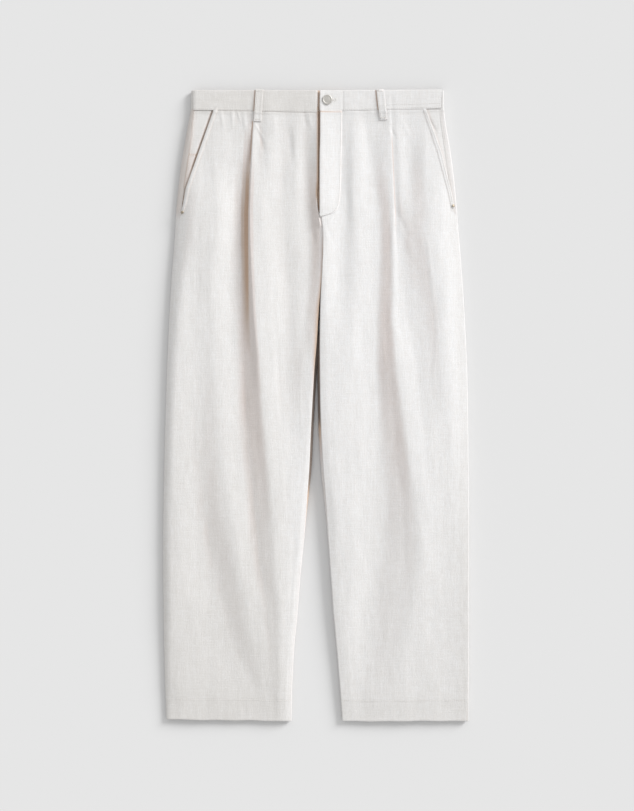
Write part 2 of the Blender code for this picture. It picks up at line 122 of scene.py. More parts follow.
LOFT: Table = {
    "drop": (0, 34, 68, 118, 184, 250, 317, 400, 516, 620, 715, 850, 980, 1050.8),
    "crown": (9.8, 11.6, 12.3, 13.0, 14.0, 14.8, 15.1, 15.2, 14.6, 14.2, 13.8, 12.8, 10.0, 7.6),
    "right_side_round": (9, 9, 10.5, 13, 30, 32, 26, 20, 17, 17, 17, 14, 13, 10),
    "left_side_round": (12, 12, 16, 22, 28, 34, 38, 40, 36, 26, 16, 10, 8, 6),
    "left_side_tight": (0.95, 0.95, 0.7, 0.5, 0.4, 0.35, 0.35, 0.4, 0.5, 0.7, 0.9, 0.95, 0.96,
                        0.96),
    "right_inner_round": (4, 4, 4, 4, 4, 4, 4, 5, 6, 8, 10, 12, 12, 12),
    "right_inner_tight": (0.9, 0.9, 0.9, 0.9, 0.9, 0.9, 0.9, 0.9, 0.85, 0.7, 0.6, 0.5, 0.45, 0.4),
    "left_inner_round": (8, 8, 8, 8, 8, 9, 10, 13, 14, 14, 13, 12, 10, 9),
    "right_inner_lift": (0, -0.4, 0.8, 1.8, 2.2, 0.2, 0.0, 0, 0, 0, 0, 0, 0, 0),
    "left_inner_lift": (0, 1.2, 2.0, 2.6, 2.8, 2.3, 2.6, 3.0, 2.8, 1.8, 0.8, 0, 0, 0),
    "right_edge": (4.6, 4.6, 4.4, 4.2, 4.0, 4.0, 4.0, 4.0, 4.0, 4.0, 4.0, 4.0, 4.2, 4.6),
    "left_edge": (4.6, 4.6, 5, 5.5, 6, 6, 6, 6, 6, 6, 5.5, 5.2, 4.8, 4.6),
    "right_inner_edge": (4.6, 4.6, 5, 6, 7, 7.5, 8, 8.5, 9, 9, 8, 6.8, 5.4, 4.6),
    "left_inner_edge": (4.6, 4.6, 5, 6, 7, 8, 9, 10, 10, 9.5, 8.5, 7, 5.6, 4.6),
}
SEAMS: Table = {
    "drop": (0, 34, 60, 80, 134, 176, 204, 237, 277, 320, 900, 1000, 1050.8),
    "right_in": (3, 4, 7.5, 10, 10.5, 9, 8, 5, 2, 0.4, 0.4, 0.4, 0.4),
    "left_in": (4, 5, 5.6, 6.6, 7.2, 5, 3.4, 2, 1, 0.4, 0.4, 2, 4),
}
BAND_LINE: Table = {
    "x": (-207.5, -104, 3, 8, 103, 212.5),
    "top": (1.7, 2.0, 2.1, 2.1, 1.4, 0.7),
    "bottom": (34.6, 36.4, 38.8, 36.9, 34.4, 32.0),
}
# Share of painted shade down each leg, where the light falls off: more on the right leg, on its
# waistband and toward both hems.
PAINTED_FALLOFF: Mapping[Side, Table] = {
    Side.RIGHT: {
        "drop": (0, 36, 44, 110, 250, 420, 620, 850, 1012, 1016, 1050.8),
        "share": (0.66, 0.66, 0.30, 0.26, 0.26, 0.26, 0.38, 0.52, 0.60, 0.66, 0.66),
    },
    Side.LEFT: {
        "drop": (0, 36, 44, 110, 250, 420, 620, 850, 1012, 1016, 1050.8),
        "share": (0.08, 0.08, 0.02, -0.02, -0.04, 0.0, 0.08, 0.22, 0.30, 0.42, 0.42),
    },
}
# Inner edge of a strip of painted shade along the right leg's outline near the waist, on the side
# that turns from the light.
SIDE_STRIP: Table = {
    "drop": (34, 76, 134, 184, 206),
    "x": (-200, -206, -210, -221, -226),
}
# Short creases: first end x and drop, second end x and drop, half width, height.
CREASES: Sequence[tuple[float, float, float, float, float, float]] = (
    (-157.7, 38, -154.4, 62, 2.6, 0.8),
    (-138.8, 36, -138.6, 60, 2.4, 0.8),
    (-130.2, 38, -126.2, 52, 1.3, 0.7),
    (-119.5, 40, -117.5, 66, 2.4, 0.9),
    (-102.2, 56, -85.5, 86, 1.6, 0.7),
    (-96.0, 62, -85.0, 108, 3.6, -0.8),
    (-69.7, 38, -69.0, 80, 3.2, 0.7),
    (-46.0, 66, -38.0, 130, 6.0, -0.7),
    (-13.3, 38, -8.0, 64, 3.0, 0.7),
    (-20.0, 40, -17.0, 60, 2.4, -0.6),
    (124.0, 64, 131.0, 80, 2.2, -0.6),
    (142.8, 54, 156.0, 80, 3.4, 0.3),
    (188.0, 50, 198.5, 70, 2.2, -0.8),
    (132.8, 200, 152.0, 244, 5.2, -0.6),
    (146.0, 238, 172.0, 296, 7.0, 0.2),
    (-105.0, 52, -109.2, 116, 1.3, -1.5),
    (20.0, 222, 34.0, 203, 2.0, 0.8),
    (10.5, 212, 24.0, 209, 1.6, -0.6),
    (14.8, 224, 18.0, 256, 2.6, 0.35),
    (17.0, 226, 28.0, 250, 3.0, -0.25),
    (4.0, 222, 1.0, 262, 2.4, 0.8),
    (-8.0, 214, -2.0, 256, 3.0, -0.9),
    (184.3, 250, 201.0, 400, 2.4, 0.5),
    (201.0, 400, 194.0, 486, 2.4, 0.4),
)
MOUTHS: Mapping[Side, Table] = {
    Side.RIGHT: {
        "drop": (30, 106, 166, 190, 204, 214),
        "opening": (-167.7, -194.4, -215.6, -219.9, -223.2, -225.0),
        "welt": (-162.0, -189.0, -210.2, -215.2, -220.0, -225.0),
    },
    Side.LEFT: {
        "drop": (30, 106, 176, 194, 204, 214),
        "opening": (181.5, 208.5, 225.8, 228.4, 229.6, 231.8),
        "welt": (177.3, 202.5, 221.2, 224.8, 227.4, 231.8),
    },
}
# Belt loops: x at the top, x at the lower end, drop of the lower end.
LOOPS: Mapping[Side, tuple[float, float, float]] = {
    Side.RIGHT: (-93.8, -96.9, 53.5),
    Side.LEFT: (106.4, 112.2, 50.5),
}
BUTTONHOLE = ((25.5, 17.0), (30.0, 16.6), (31.6, 15.6), (33.2, 16.6), (33.6, 18.0), (33.2, 19.4),
              (31.6, 20.4), (30.0, 19.4), (25.5, 19.0))
FLY_CURVE: Table = {
    "drop": (34, 101, 151, 176, 185, 192.6, 198, 202.5, 206, 208.8, 210.5, FLY_BOTTOM),
    "x": (43.3, 42.3, 41.2, 40.2, 39.3, 37.8, 35.8, 33.2, 29.0, 23.2, 17.0, 9.6),
}
RIGHT_FRONT_EDGE: Table = {
    "drop": (0, 150, 160, 166, 174, 190, 205, 212, 220, 240),
    "x": (3.6, 3.2, 2.6, 2.0, 1.8, 2.2, 4.0, 9.0, 12.4, 13.8),
}
SHIELD_EDGE: Table = {
    "drop": (34, 160, 195, 215, 222),
    "x": (45, 45, 38, 22, 14),
}

RIGHT_ROLL = Track((0, 160, 190, 205, 222, 240), (0.0, 0.0, 0.2, 2.0, 6.2, 8.0), 3.0)

FOLD_DROPS = (0, 38, 60, 101, 151, 201, 251, 317, 383, 450, 516, 599, 682, 765, 848, 931, 998, 1047)
PLAIN_DROPS = tuple(drop for drop in FOLD_DROPS if drop != 38)
BARE_DROPS = tuple(drop for drop in PLAIN_DROPS if drop != 101)


@dataclass(frozen=True)
class FoldLine:
    """A line down the leg: its X and its height over the crown at each of its drops."""

    name: str
    x: Sequence[float]
    height: Sequence[float]
    drops: Sequence[float] = FOLD_DROPS


# From the outer side of the right leg to the left leg's.
FOLD_LINES: Mapping[Side, Sequence[FoldLine]] = {
    Side.RIGHT: (
        FoldLine("side_ridge",
                 (-197.5, -192.6, -195.9, -199.2, -204.2, -219.1, -227.4, -230.7, -232.4,
                  -232.4, -234.1, -234.1, -232.4, -232.4, -222.4, -215.8),
                 (0, 0.4, 1.9, 3.5, 3, 1.8, 1.3, 0.6, 0.6, 0.5, 0.4, 0.2, 1, 0.6, 1.3, 0.8),
                 BARE_DROPS),
        FoldLine("side_trough",
                 (-182.6, -182.6, -182.6, -182.6, -185.9, -197.5, -197.5, -192.6, -194.2,
                  -195.9, -194.2, -179.3, -162.7, -137.8, -106.2, -99.6),
                 (0, 0.5, 1.1, 3.5, 3.4, 1.1, -0.6, -1.9, -1.8, -2.2, -2.7, -3.6, -3.4, -2.3,
                  -0.5, 0),
                 BARE_DROPS),
        FoldLine("thigh_ridge",
                 (-169.3, -169.3, -169.3, -166, -167.7, -179.3, -176, -171, -166, -159.4,
                  -147.7, -132.8, -116.2, -99.6, -86.3, -83),
                 (0, 0.8, 1.4, 3.4, 3, 1.4, -0.6, -1.2, -0.1, 0.7, 2, 2.8, 2.2, 1.3, 0.2, 0),
                 BARE_DROPS),
        FoldLine("pleat_trough",
                 (-126.2, -124.5, -119.5, -119.5, -121.2, -122.8, -123.7, -124.5, -125.3,
                  -123.7, -120.3, -117.9, -109.6, -100.4, -86.3, -79.7, -74.7, -73),
                 (0, -0.2, -0.4, -2.7, -5.9, -6.9, -7.7, -8.2, -7.8, -6.7, -5.1, -3.2, -1.6,
                  -0.4, 0.5, 1.2, 0.6, 0.2)),
        FoldLine("pleat_under",
                 (-107.9, -105.9, -106.9, -108.6, -111.2, -113.2, -113.5, -113.9, -113.5,
                  -109.6, -107.9, -99.6, -89.6, -83, -74.7, -69.7, -68.1, -66.4),
                 (0, -0.2, -0.2, -3.0, -5.6, -6.4, -7, -7, -5.6, -3.5, -1, 1, 2.2, 2.4, 1.8,
                  1.6, 1, 0.4)),
        FoldLine("pleat_edge",
                 (-104.6, -103.6, -104.2, -105.7, -108.2, -110.2, -109.6, -106.2, -102.1, -94.6,
                  -89.6, -81.3, -73, -67.2, -61.4, -61.4, -61.4, -59.8),
                 (0.2, 0.6, 1.3, 1.8, 3.2, 4.6, 5.3, 5.4, 5.4, 5.1, 5.3, 5.6, 5.4, 4.6, 3.7,
                  2.4, 1.4, 0.6)),
        FoldLine("pleat_slope",
                 (-89.6, -93, -93, -94.6, -93, -89.6, -88, -86.3, -79.7, -73, -68.1, -61.4,
                  -53.1, -49.8, -48.1, -50.6, -52.3, -53.1),
                 (0.2, 0.3, 0.4, 0.5, 2.2, 3.7, 3.4, 3.4, 2.9, 2.1, 2.7, 3.4, 3.4, 2.6, 1.9,
                  1.4, 0.8, 0.4)),
        FoldLine("middle_ridge",
                 (-76.4, -79.7, -79.7, -82.2, -79.7, -74.7, -73, -69.7, -63.1, -61.4, -58.1,
                  -53.1, -46.5, -44.8, -44.8, -47.8, -49.5, -50.5),
                 (0.2, 1.3, 1.8, 1.2, 1, 0.8, 0.5, 0.3, -0.5, -0.6, 0.8, 2.2, 2.6, 1.9, 1.4, 1,
                  0.6, 0.2)),
        FoldLine("centre_trough",
                 (-46.5, -46.5, -48.1, -53.1, -53.1, -48.1, -44.8, -43.2, -46.5, -41.5, -39.8,
                  -34.9, -37.4, -40.7, -44.8, -46.5, -47.3),
                 (0, -1, -3.7, -3.2, -2.4, -3.8, -5, -3.7, -2.4, -0.8, 0.8, 1.4, 0.8, 0.7, 0.7,
                  0.3, 0.2),
                 PLAIN_DROPS),
        FoldLine("centre_ridge",
                 (-33.2, -33.2, -34, -34.9, -34.9, -33.2, -29.9, -29.9, -29.9, -29.9, -28.2,
                  -26.6, -27.4),
                 (0, -0.5, -2.4, -2.4, -3, -4, -4.6, -3, -1.5, -0.4, 0.3, 0.6, 0.5),
                 PLAIN_DROPS[:12] + (749,)),
        FoldLine("centre_valley",
                 (-18.3, -18.3, -18.3, -16.6, -15.8, -11.6, -10.8, -13.3, -18.3, -24.1, -24.9,
                  -23.9, -24.2, -24.9),
                 (0, -0.6, -2.1, -4.8, -5.3, -6.1, -6.1, -5, -2.9, -0.8, 0, 0.2, 0.4, 0.4),
                 FOLD_DROPS[:13] + (749,)),
    ),
    Side.LEFT: (
        FoldLine("fly_trough",
                 (43.2, 43.2, 44.8, 46.5, 46.5, 49.8, 46.5, 44.8, 41.5, 34.9, 29.9, 29.9, 33.2,
                  38.2, 43.2, 49.8, 56.4, 59.8),
                 (-0.8, -1.8, -2.4, -2.9, -2.9, -2.7, -2.8, -2.6, -0.2, 1.8, 2.2, 2.4, 2.7, 1.4,
                  0.3, 0.2, 0, 0)),
        FoldLine("broad_ridge",
                 (63.1, 63.1, 63.1, 63.1, 63.1, 63.1, 64.7, 63.1, 61.4, 56.4, 51.5, 49.8, 49.8,
                  49.8, 54.8, 59.8, 66.4, 69.7),
                 (-1, -1.6, -1.4, -0.2, 0.8, 0.2, -1.3, -1.8, -1, 0.8, 0.8, 1.6, 1.9, 1.1, 0,
                  -0.5, -0.2, 0)),
        FoldLine("main_trough",
                 (86.3, 84.7, 84.7, 90.6, 96.6, 102.7, 105.3, 102.4, 99.4, 99.0, 100.3, 103.9,
                  107.9, 106.9, 93, 84.7, 79.7, 79.7),
                 (-1, -2.4, -3.7, -3.4, -3.4, -4.5, -5.3, -5.6, -4.9, -3.9, -4.6, -2.9, -3.1,
                  -3.9, -3.8, -2.2, 0, 0)),
        FoldLine("pleat_rise",
                 (109.6, 109.6, 109.6, 111.2, 114.5, 118.4, 120.0, 118.4, 114.0, 116.8, 122.8,
                  129.0, 139.4, 142.8, 132.8, 119.5, 106.2, 102.9),
                 (-0.6, -1.9, -2.9, -1, -0.7, -2.0, -2.3, -2.6, -1.8, 0.5, -0.1, 0.4, 0.7, 0.6,
                  0.2, 0.5, 1.3, 0.8)),
        FoldLine("pleat_edge",
                 (121.8, 121.8, 122.8, 124.5, 126.5, 128.5, 127.8, 129.5, 127, 133.6, 142.8,
                  154.4, 167.7, 174.3, 166, 146.1, 127.8, 122.8),
                 (-0.6, -1.1, -1.4, -0.2, 0.2, -0.3, -0.2, 0, 1.9, 4.8, 5, 6.9, 6.4, 5, 3.4,
                  2.3, 2.2, 1.1)),
        FoldLine("pleat_groove",
                 (124.8, 124.8, 126.2, 128.3, 130.5, 132.8, 134.5, 138.6, 141.1, 151.1, 159.4,
                  169.3, 180.9, 187.6, 179.3, 162.7, 147.7, 142.8),
                 (-0.7, -1.6, -2.0, -0.8, -0.5, -1.1, -1.3, -1.6, -0.2, 2.9, 3.7, 6.1, 5.6, 4,
                  2.7, 1.8, 1.6, 1)),
        FoldLine("plateau",
                 (136.1, 134.5, 137.8, 139.4, 141.1, 142.8, 147.7, 154.4, 169.3, 176, 182.6,
                  194.2, 199.2, 190.9, 179.3, 167.7, 164.3),
                 (-0.5, -1.1, 0.2, 0.5, 0.6, -1.6, -2.2, -1.5, 1, 1.9, 4.8, 4.3, 2.9, 1.9, 1.3,
                  1.1, 0.6),
                 PLAIN_DROPS),
        FoldLine("outer_trough",
                 (154.4, 152.7, 154.4, 154.4, 154.4, 157.7, 167.7, 174.3, 185.9, 190.9, 195.9,
                  207.5, 212.5, 207.5, 199.2, 192.6, 192.6),
                 (-0.3, -2.2, -1.4, -0.8, 1.1, 0.6, -0.5, -1, 1.3, 2.1, 4, 3.2, 1.9, 1, 0.6,
                  0.3, 0.2),
                 PLAIN_DROPS),
        FoldLine("outer_ridge",
                 (182.6, 180.9, 182.6, 182.6, 184.3, 185.9, 200.9, 209.2, 207.5, 210.8, 215.8,
                  222.4, 225.8, 224.1, 220.8, 219.1, 219.1),
                 (0, -0.8, 1.8, 2.6, 3.7, 4.1, 2.7, 1.9, 2.6, 2.5, 2.6, 2.1, 1.1, 0.5, 0.2, 0, 0),
                 PLAIN_DROPS),
    ),
}


def ease(share: Array | float) -> Array:
    """Smooth step from 0 to 1."""
    held = np.clip(share, 0.0, 1.0)
    return held * held * (3.0 - 2.0 * held)


def bell(distance: Array, width: Array | float) -> Array:
    """Bell curve of height 1."""
    return np.exp(-(distance / width) ** 2)


def read(table: Table, column: str, drop: Array) -> Array:
    """A table's column at these drops, straight between its rows."""
    return np.interp(drop, table["drop"], table[column])


def band_line(name: str, x: Array) -> Array:
    """Drop of the waistband's top or bottom edge at each X."""
    return np.interp(x, BAND_LINE["x"], BAND_LINE[name])


def ripple(x: Array, drop: Array, wide: float, long: float, seed: int) -> Array:
    """Smooth random waves of about unit height.

    Args:
        x: Distance to the wearer's left.
        drop: Distance down from the waist.
        wide: Size of a wave across, in millimetres.
        long: Size of a wave down the leg, in millimetres.
        seed: Which pattern is drawn.

    Returns:
        The wave's height at each point, from -1 to 1.
    """
    lattice = np.random.default_rng(seed).uniform(-1.0, 1.0, (128, 128))
    across = x / wide + 60.0
    down = drop / long + 20.0
    low_x = np.floor(across).astype(int)
    low_y = np.floor(down).astype(int)
    part_x = ease(across - low_x)
    part_y = ease(down - low_y)
    corner = [lattice[(low_x + i) % 128, (low_y + j) % 128] for j in (0, 1) for i in (0, 1)]
    top = corner[0] + (corner[1] - corner[0]) * part_x
    bottom = corner[2] + (corner[3] - corner[2]) * part_x
    return top + (bottom - top) * part_y


class FoldNet:
    """Folds of one leg: lines down the leg, with the cloth passing smoothly over them."""

    def __init__(self, side: Side) -> None:
        """Make the smooth tracks of the side's lines."""
        self.lines = {line.name: (Track(line.drops, line.x), Track(line.drops, line.height))
                      for line in FOLD_LINES[side]}

    def knots(self, drop: Array, low: tuple[Array, Array], high: tuple[Array, Array]
              ) -> tuple[list[Array], list[Array]]:
        """Where the lines cross these drops.

        Args:
            drop: Distances down from the waist.
            low: X and height of the leg's edge toward -X.
            high: X and height of the leg's edge toward +X.

        Returns:
            The X of each line and its height, from -X to +X.
        """
        places, heights = [low[0]], [low[1]]
        for place, height in self.lines.values():
            places.append(np.maximum(place(drop), places[-1] + 0.8))
            heights.append(height(drop))
        places.append(np.maximum(high[0], places[-1] + 0.8))
        heights.append(high[1])
        return places, heights

    def height(self, x: Array, drop: Array, low: tuple[Array, Array], high: tuple[Array, Array]
               ) -> Array:
        """Height of the folds over the crown.

        Args:
            x: Distance to the wearer's left.
            drop: Distance down from the waist.
            low: X and height of the leg's edge toward -X.
            high: X and height of the leg's edge toward +X.

        Returns:
            The height at each point.
        """
        places, heights = self.knots(drop, low, high)
        steps = [b - a for a, b in zip(places, places[1:])]
        rises = [(b - a) / step for a, b, step in zip(heights, heights[1:], steps)]
        slopes = [np.zeros_like(x)]
        for before, after in zip(rises, rises[1:]):
            same = before * after > 0.0
            mean = 2.0 * before * after / np.where(same, before + after, 1.0)
            slopes.append(np.where(same, mean, 0.0))
        slopes.append(np.zeros_like(x))
        total = (np.where(x < places[0], heights[0], 0.0)
                 + np.where(x >= places[-1], heights[-1], 0.0))
        for k, step in enumerate(steps):
            t = (x - places[k]) / step
            inside = (x >= places[k]) & (x < places[k + 1])
            value = (heights[k] * (1.0 + 2.0 * t) * (1.0 - t) ** 2
                     + slopes[k] * step * t * (1.0 - t) ** 2
                     + heights[k + 1] * t * t * (3.0 - 2.0 * t)
                     - slopes[k + 1] * step * t * t * (1.0 - t))
            total = total + np.where(inside, value, 0.0)
        return total


# Ripples of the legs: height, slant, size across, size down, seed.
BODY_RIPPLES = ((0.27, 0.0, 15.0, 100.0, 3), (0.15, 0.0, 7.0, 26.0, 5), (0.24, 0.35, 24.0, 34.0, 9))


@dataclass
class Form:
    """The trousers' surface, worked out from the outline, the loft and the folds."""

    tracks: dict[str, Track] = field(default_factory=dict)
    nets: dict[Side, FoldNet] = field(default_factory=dict)

    def __post_init__(self) -> None:
        """Make the smooth tracks of every table."""
        for table in (OUTLINE, LOFT, SEAMS):
            for name, values in table.items():
                if name != "drop":
                    self.tracks[name] = Track(table["drop"], values)
        for side in Side:
            self.nets[side] = FoldNet(side)

    def contour(self, side: Side, drop: Array | float) -> Array:
        """X of the leg's outermost line."""
        return self.tracks[side.word + "_side"](drop)

    def inner(self, side: Side, drop: Array | float) -> Array:
        """X of the leg's inner line, or of the centre front."""
        return self.tracks[side.word + "_inner"](drop)

    def seam(self, side: Side, drop: Array | float) -> Array:
        """X of the side seam where it shows on the top."""
        return self.contour(side, drop) - side.value * self.tracks[side.word + "_in"](drop)

    @staticmethod
    def leg_share(drop: Array | float) -> Array:
        """0 above the crotch, where the fronts meet flat, and 1 below it."""
        return ease((np.asarray(drop) - CROTCH + 18.0) / 60.0)

    @staticmethod
    def rounded(distance: Array, width: Array) -> Array:
        """Share of the full height near an edge that rolls over."""
        near = 1.0 - np.clip(distance / width, 0.0, 1.0)
        return np.sqrt(np.maximum(0.0, 1.0 - near * near))

    def folded(self, distance: Array, width: Array, tight: Array | float) -> Array:
        """Share of the full height near an edge, of which a tight fold takes its part."""
        soft = np.sin(np.clip(distance / width, 0.0, 1.0) * math.pi / 2.0)
        return tight * self.rounded(distance, np.full_like(distance, 1.0)) + (1.0 - tight) * soft

    def ends(self, side: Side, drop: Array) -> tuple[tuple[Array, Array], tuple[Array, Array]]:
        """X and fold height of the leg's two edges, from -X to +X.

        Args:
            side: Which leg or front.
            drop: Distance down from the waist.

        Returns:
            X and height of the edge toward -X, then of the one toward +X.
        """
        outer = (self.contour(side, drop), np.zeros_like(drop))
        inner = (self.inner(side, drop), self.tracks[side.word + "_inner_lift"](drop))
        return (outer, inner) if side is Side.RIGHT else (inner, outer)

    def height(self, side: Side, x: Array, drop: Array) -> Array:
        """Height of the front's face.

        Args:
            side: The leg.
            x: Distance to the wearer's left.
            drop: Distance down from the waist.

        Returns:
            The height at each point.
        """
        x, drop = np.broadcast_arrays(np.asarray(x, float), np.asarray(drop, float))
        crown = self.tracks["crown"](drop) + self.nets[side].height(x, drop, *self.ends(side, drop))
        body = ease((drop - 20.0) / 60.0)
        for high, slant, wide, long, seed in BODY_RIPPLES:
            crown = crown + body * high * ripple(x + slant * drop, drop, wide, long, seed)
        crown = crown + self.creased(x, drop)
        band = 0.16 * ripple(x, drop, 22.0, 7.0, 17) + 0.12 * ripple(x, drop, 7.0, 10.0, 19)
        crown = crown + (1.0 - body) * band
        below = drop - band_line("bottom", x)
        crown = crown + (0.55 + 0.25 * ripple(x, drop, 9.0, 60.0, 13)) * bell(below - 3.2, 1.7)
        if side is Side.LEFT:
            beyond = x - read(FLY_CURVE, "x", drop)
            groove = bell(beyond - 1.2, 1.6) * ease((FLY_BOTTOM + 1.0 - drop) / 3.0)
            crown = crown - 0.55 * groove
        if side is Side.RIGHT:
            roll = bell(x - RIGHT_ROLL(drop), 1.8) * ease((drop - 165.0) / 25.0)
            crown = crown + 3.0 * roll * (1.0 - ease((drop - 222.0) / 14.0))
        word = side.word
        low = self.tracks[word + "_edge"](drop)
        out = np.abs(self.contour(side, drop) - x)
        reach = self.tracks[word + "_side_round"](drop)
        if side is Side.RIGHT:
            at_side = self.rounded(out, reach)
        else:
            at_side = self.folded(out, reach, self.tracks["left_side_tight"](drop))
        height = low + (crown - low) * at_side
        low = self.tracks[word + "_inner_edge"](drop)
        inside = (x - self.inner(side, drop)) * side.value
        tight = self.tracks["right_inner_tight"](drop) if side is Side.RIGHT else 0.8
        at_inner = self.folded(inside, self.tracks[word + "_inner_round"](drop), tight)
        return height - self.leg_share(drop) * (height - low) * (1.0 - at_inner)

    @staticmethod
    def creased(x: Array, drop: Array) -> Array:
        """Height of the short creases.

        Args:
            x: Distance to the wearer's left.
            drop: Distance down from the waist.

        Returns:
            The height at each point.
        """
        total = np.zeros_like(x)
        for x0, drop0, x1, drop1, wide, high in CREASES:
            length = math.hypot(x1 - x0, drop1 - drop0)
            along = ((x - x0) * (x1 - x0) + (drop - drop0) * (drop1 - drop0)) / length
            across = ((x - x0) * (drop1 - drop0) - (drop - drop0) * (x1 - x0)) / length
            share = np.clip(along / length, 0.0, 1.0)
            fall = bell(np.maximum(0.0, np.maximum(-along, along - length)), 4.0)
            arch = 0.45 + 0.55 * np.sin(math.pi * share)
            total = total + high * fall * bell(across, wide) * arch
        return total

    def depth(self, side: Side, x: Array, drop: Array) -> Array:
        """Painted shade of each point of the front, from 0 to 1: deep in folds and on slopes that
        turn from the light.

        Args:
            side: Which leg or front.
            x: Distance to the wearer's left.
            drop: Distance down from the waist.

        Returns:
            The depth at each point.
        """
        here = self.height(side, x, drop)
        low = np.minimum(self.contour(side, drop), self.inner(side, drop)) + 5.0
        high = np.maximum(self.contour(side, drop), self.inner(side, drop)) - 5.0
        near = {step: self.height(side, np.clip(x + step, low, high), drop)
                for step in (-13.0, -7.0, 7.0, 13.0)}
        mean = np.zeros_like(here)
        for beside in near.values():
            mean = mean + 0.25 * beside
        rise = (near[7.0] - near[-7.0]) / 14.0
        inward = np.abs(self.contour(side, drop) - x)
        # Painted shade on slopes that face away from the light.
        shade = 0.24 * ease(rise / 0.34) * ease((inward - 12.0) / 30.0)
        shade = shade * ease((drop - 90.0) / 90.0) * (1.0 - 0.5 * ease((drop - 560.0) / 200.0))
        if side is Side.LEFT:
            return shade * ease((x - 60.0) / 20.0) * (1.25 - 0.35 * ease((drop - 420.0) / 80.0))
        at_pleat = 1.0 - 0.8 * ease((x + 80.0) / 30.0)
        # Painted shade deep in the troughs by the right leg's pleat.
        deep = 0.85 * np.clip((mean - here - 0.3) / 4.6, 0.0, 1.0) * at_pleat
        deep = deep * ease((inward - 8.0) / 16.0)
        return np.maximum(deep, shade)

    def level(self, side: Side, x: Array, drop: Array) -> Array:
        """Y of a point, with the slight slant and unevenness of the lower ends.

        Args:
            side: Which leg or front.
            x: Distance to the wearer's left.
            drop: Distance down from the waist.

        Returns:
            Y of each point.
        """
        inner, outer = self.inner(side, drop), self.contour(side, drop)
        across = np.clip((x - inner) / (outer - inner), 0, 1)
        slant = 3.3 if side is Side.RIGHT else 0.4
        uneven = 0.35 * np.sin(x / 9.0 + 1.0) + 0.25 * np.sin(x / 23.0)
        return LENGTH / 2.0 - drop + (slant * across + uneven + 0.6) * ease((drop - 900.0) / 140.0)

    def on_front(self, side: Side, x: Array, drop: Array) -> Array:
        """Points of the front's face, in millimetres."""
        x, drop = np.broadcast_arrays(np.asarray(x, float), np.asarray(drop, float))
        return np.stack([x, self.level(side, x, drop), self.height(side, x, drop)], axis=-1)

    def across_top(self, x: Array, drop: Array, seam: float = 8.3, blend: float = 8.0) -> Array:
        """Points of the front's face on either side of the centre line.

        Args:
            x: Distance to the wearer's left.
            drop: Distance down from the waist.
            seam: X of the middle of the blend.
            blend: Width of the blend.

        Returns:
            The points, in millimetres.
        """
        right = self.on_front(Side.RIGHT, np.minimum(x, 8.0), drop)
        left = self.on_front(Side.LEFT, np.maximum(x, 8.6), drop)
        share = ease((x - seam) / blend + 0.5)[..., None]
        points = right + (left - right) * share
        points[..., 0] = x
        return points


class Edge(Enum):
    """Edge of a grid of points."""

    FIRST_ROW = "first row"
    LAST_ROW = "last row"
    FIRST_COLUMN = "first column"
    LAST_COLUMN = "last column"


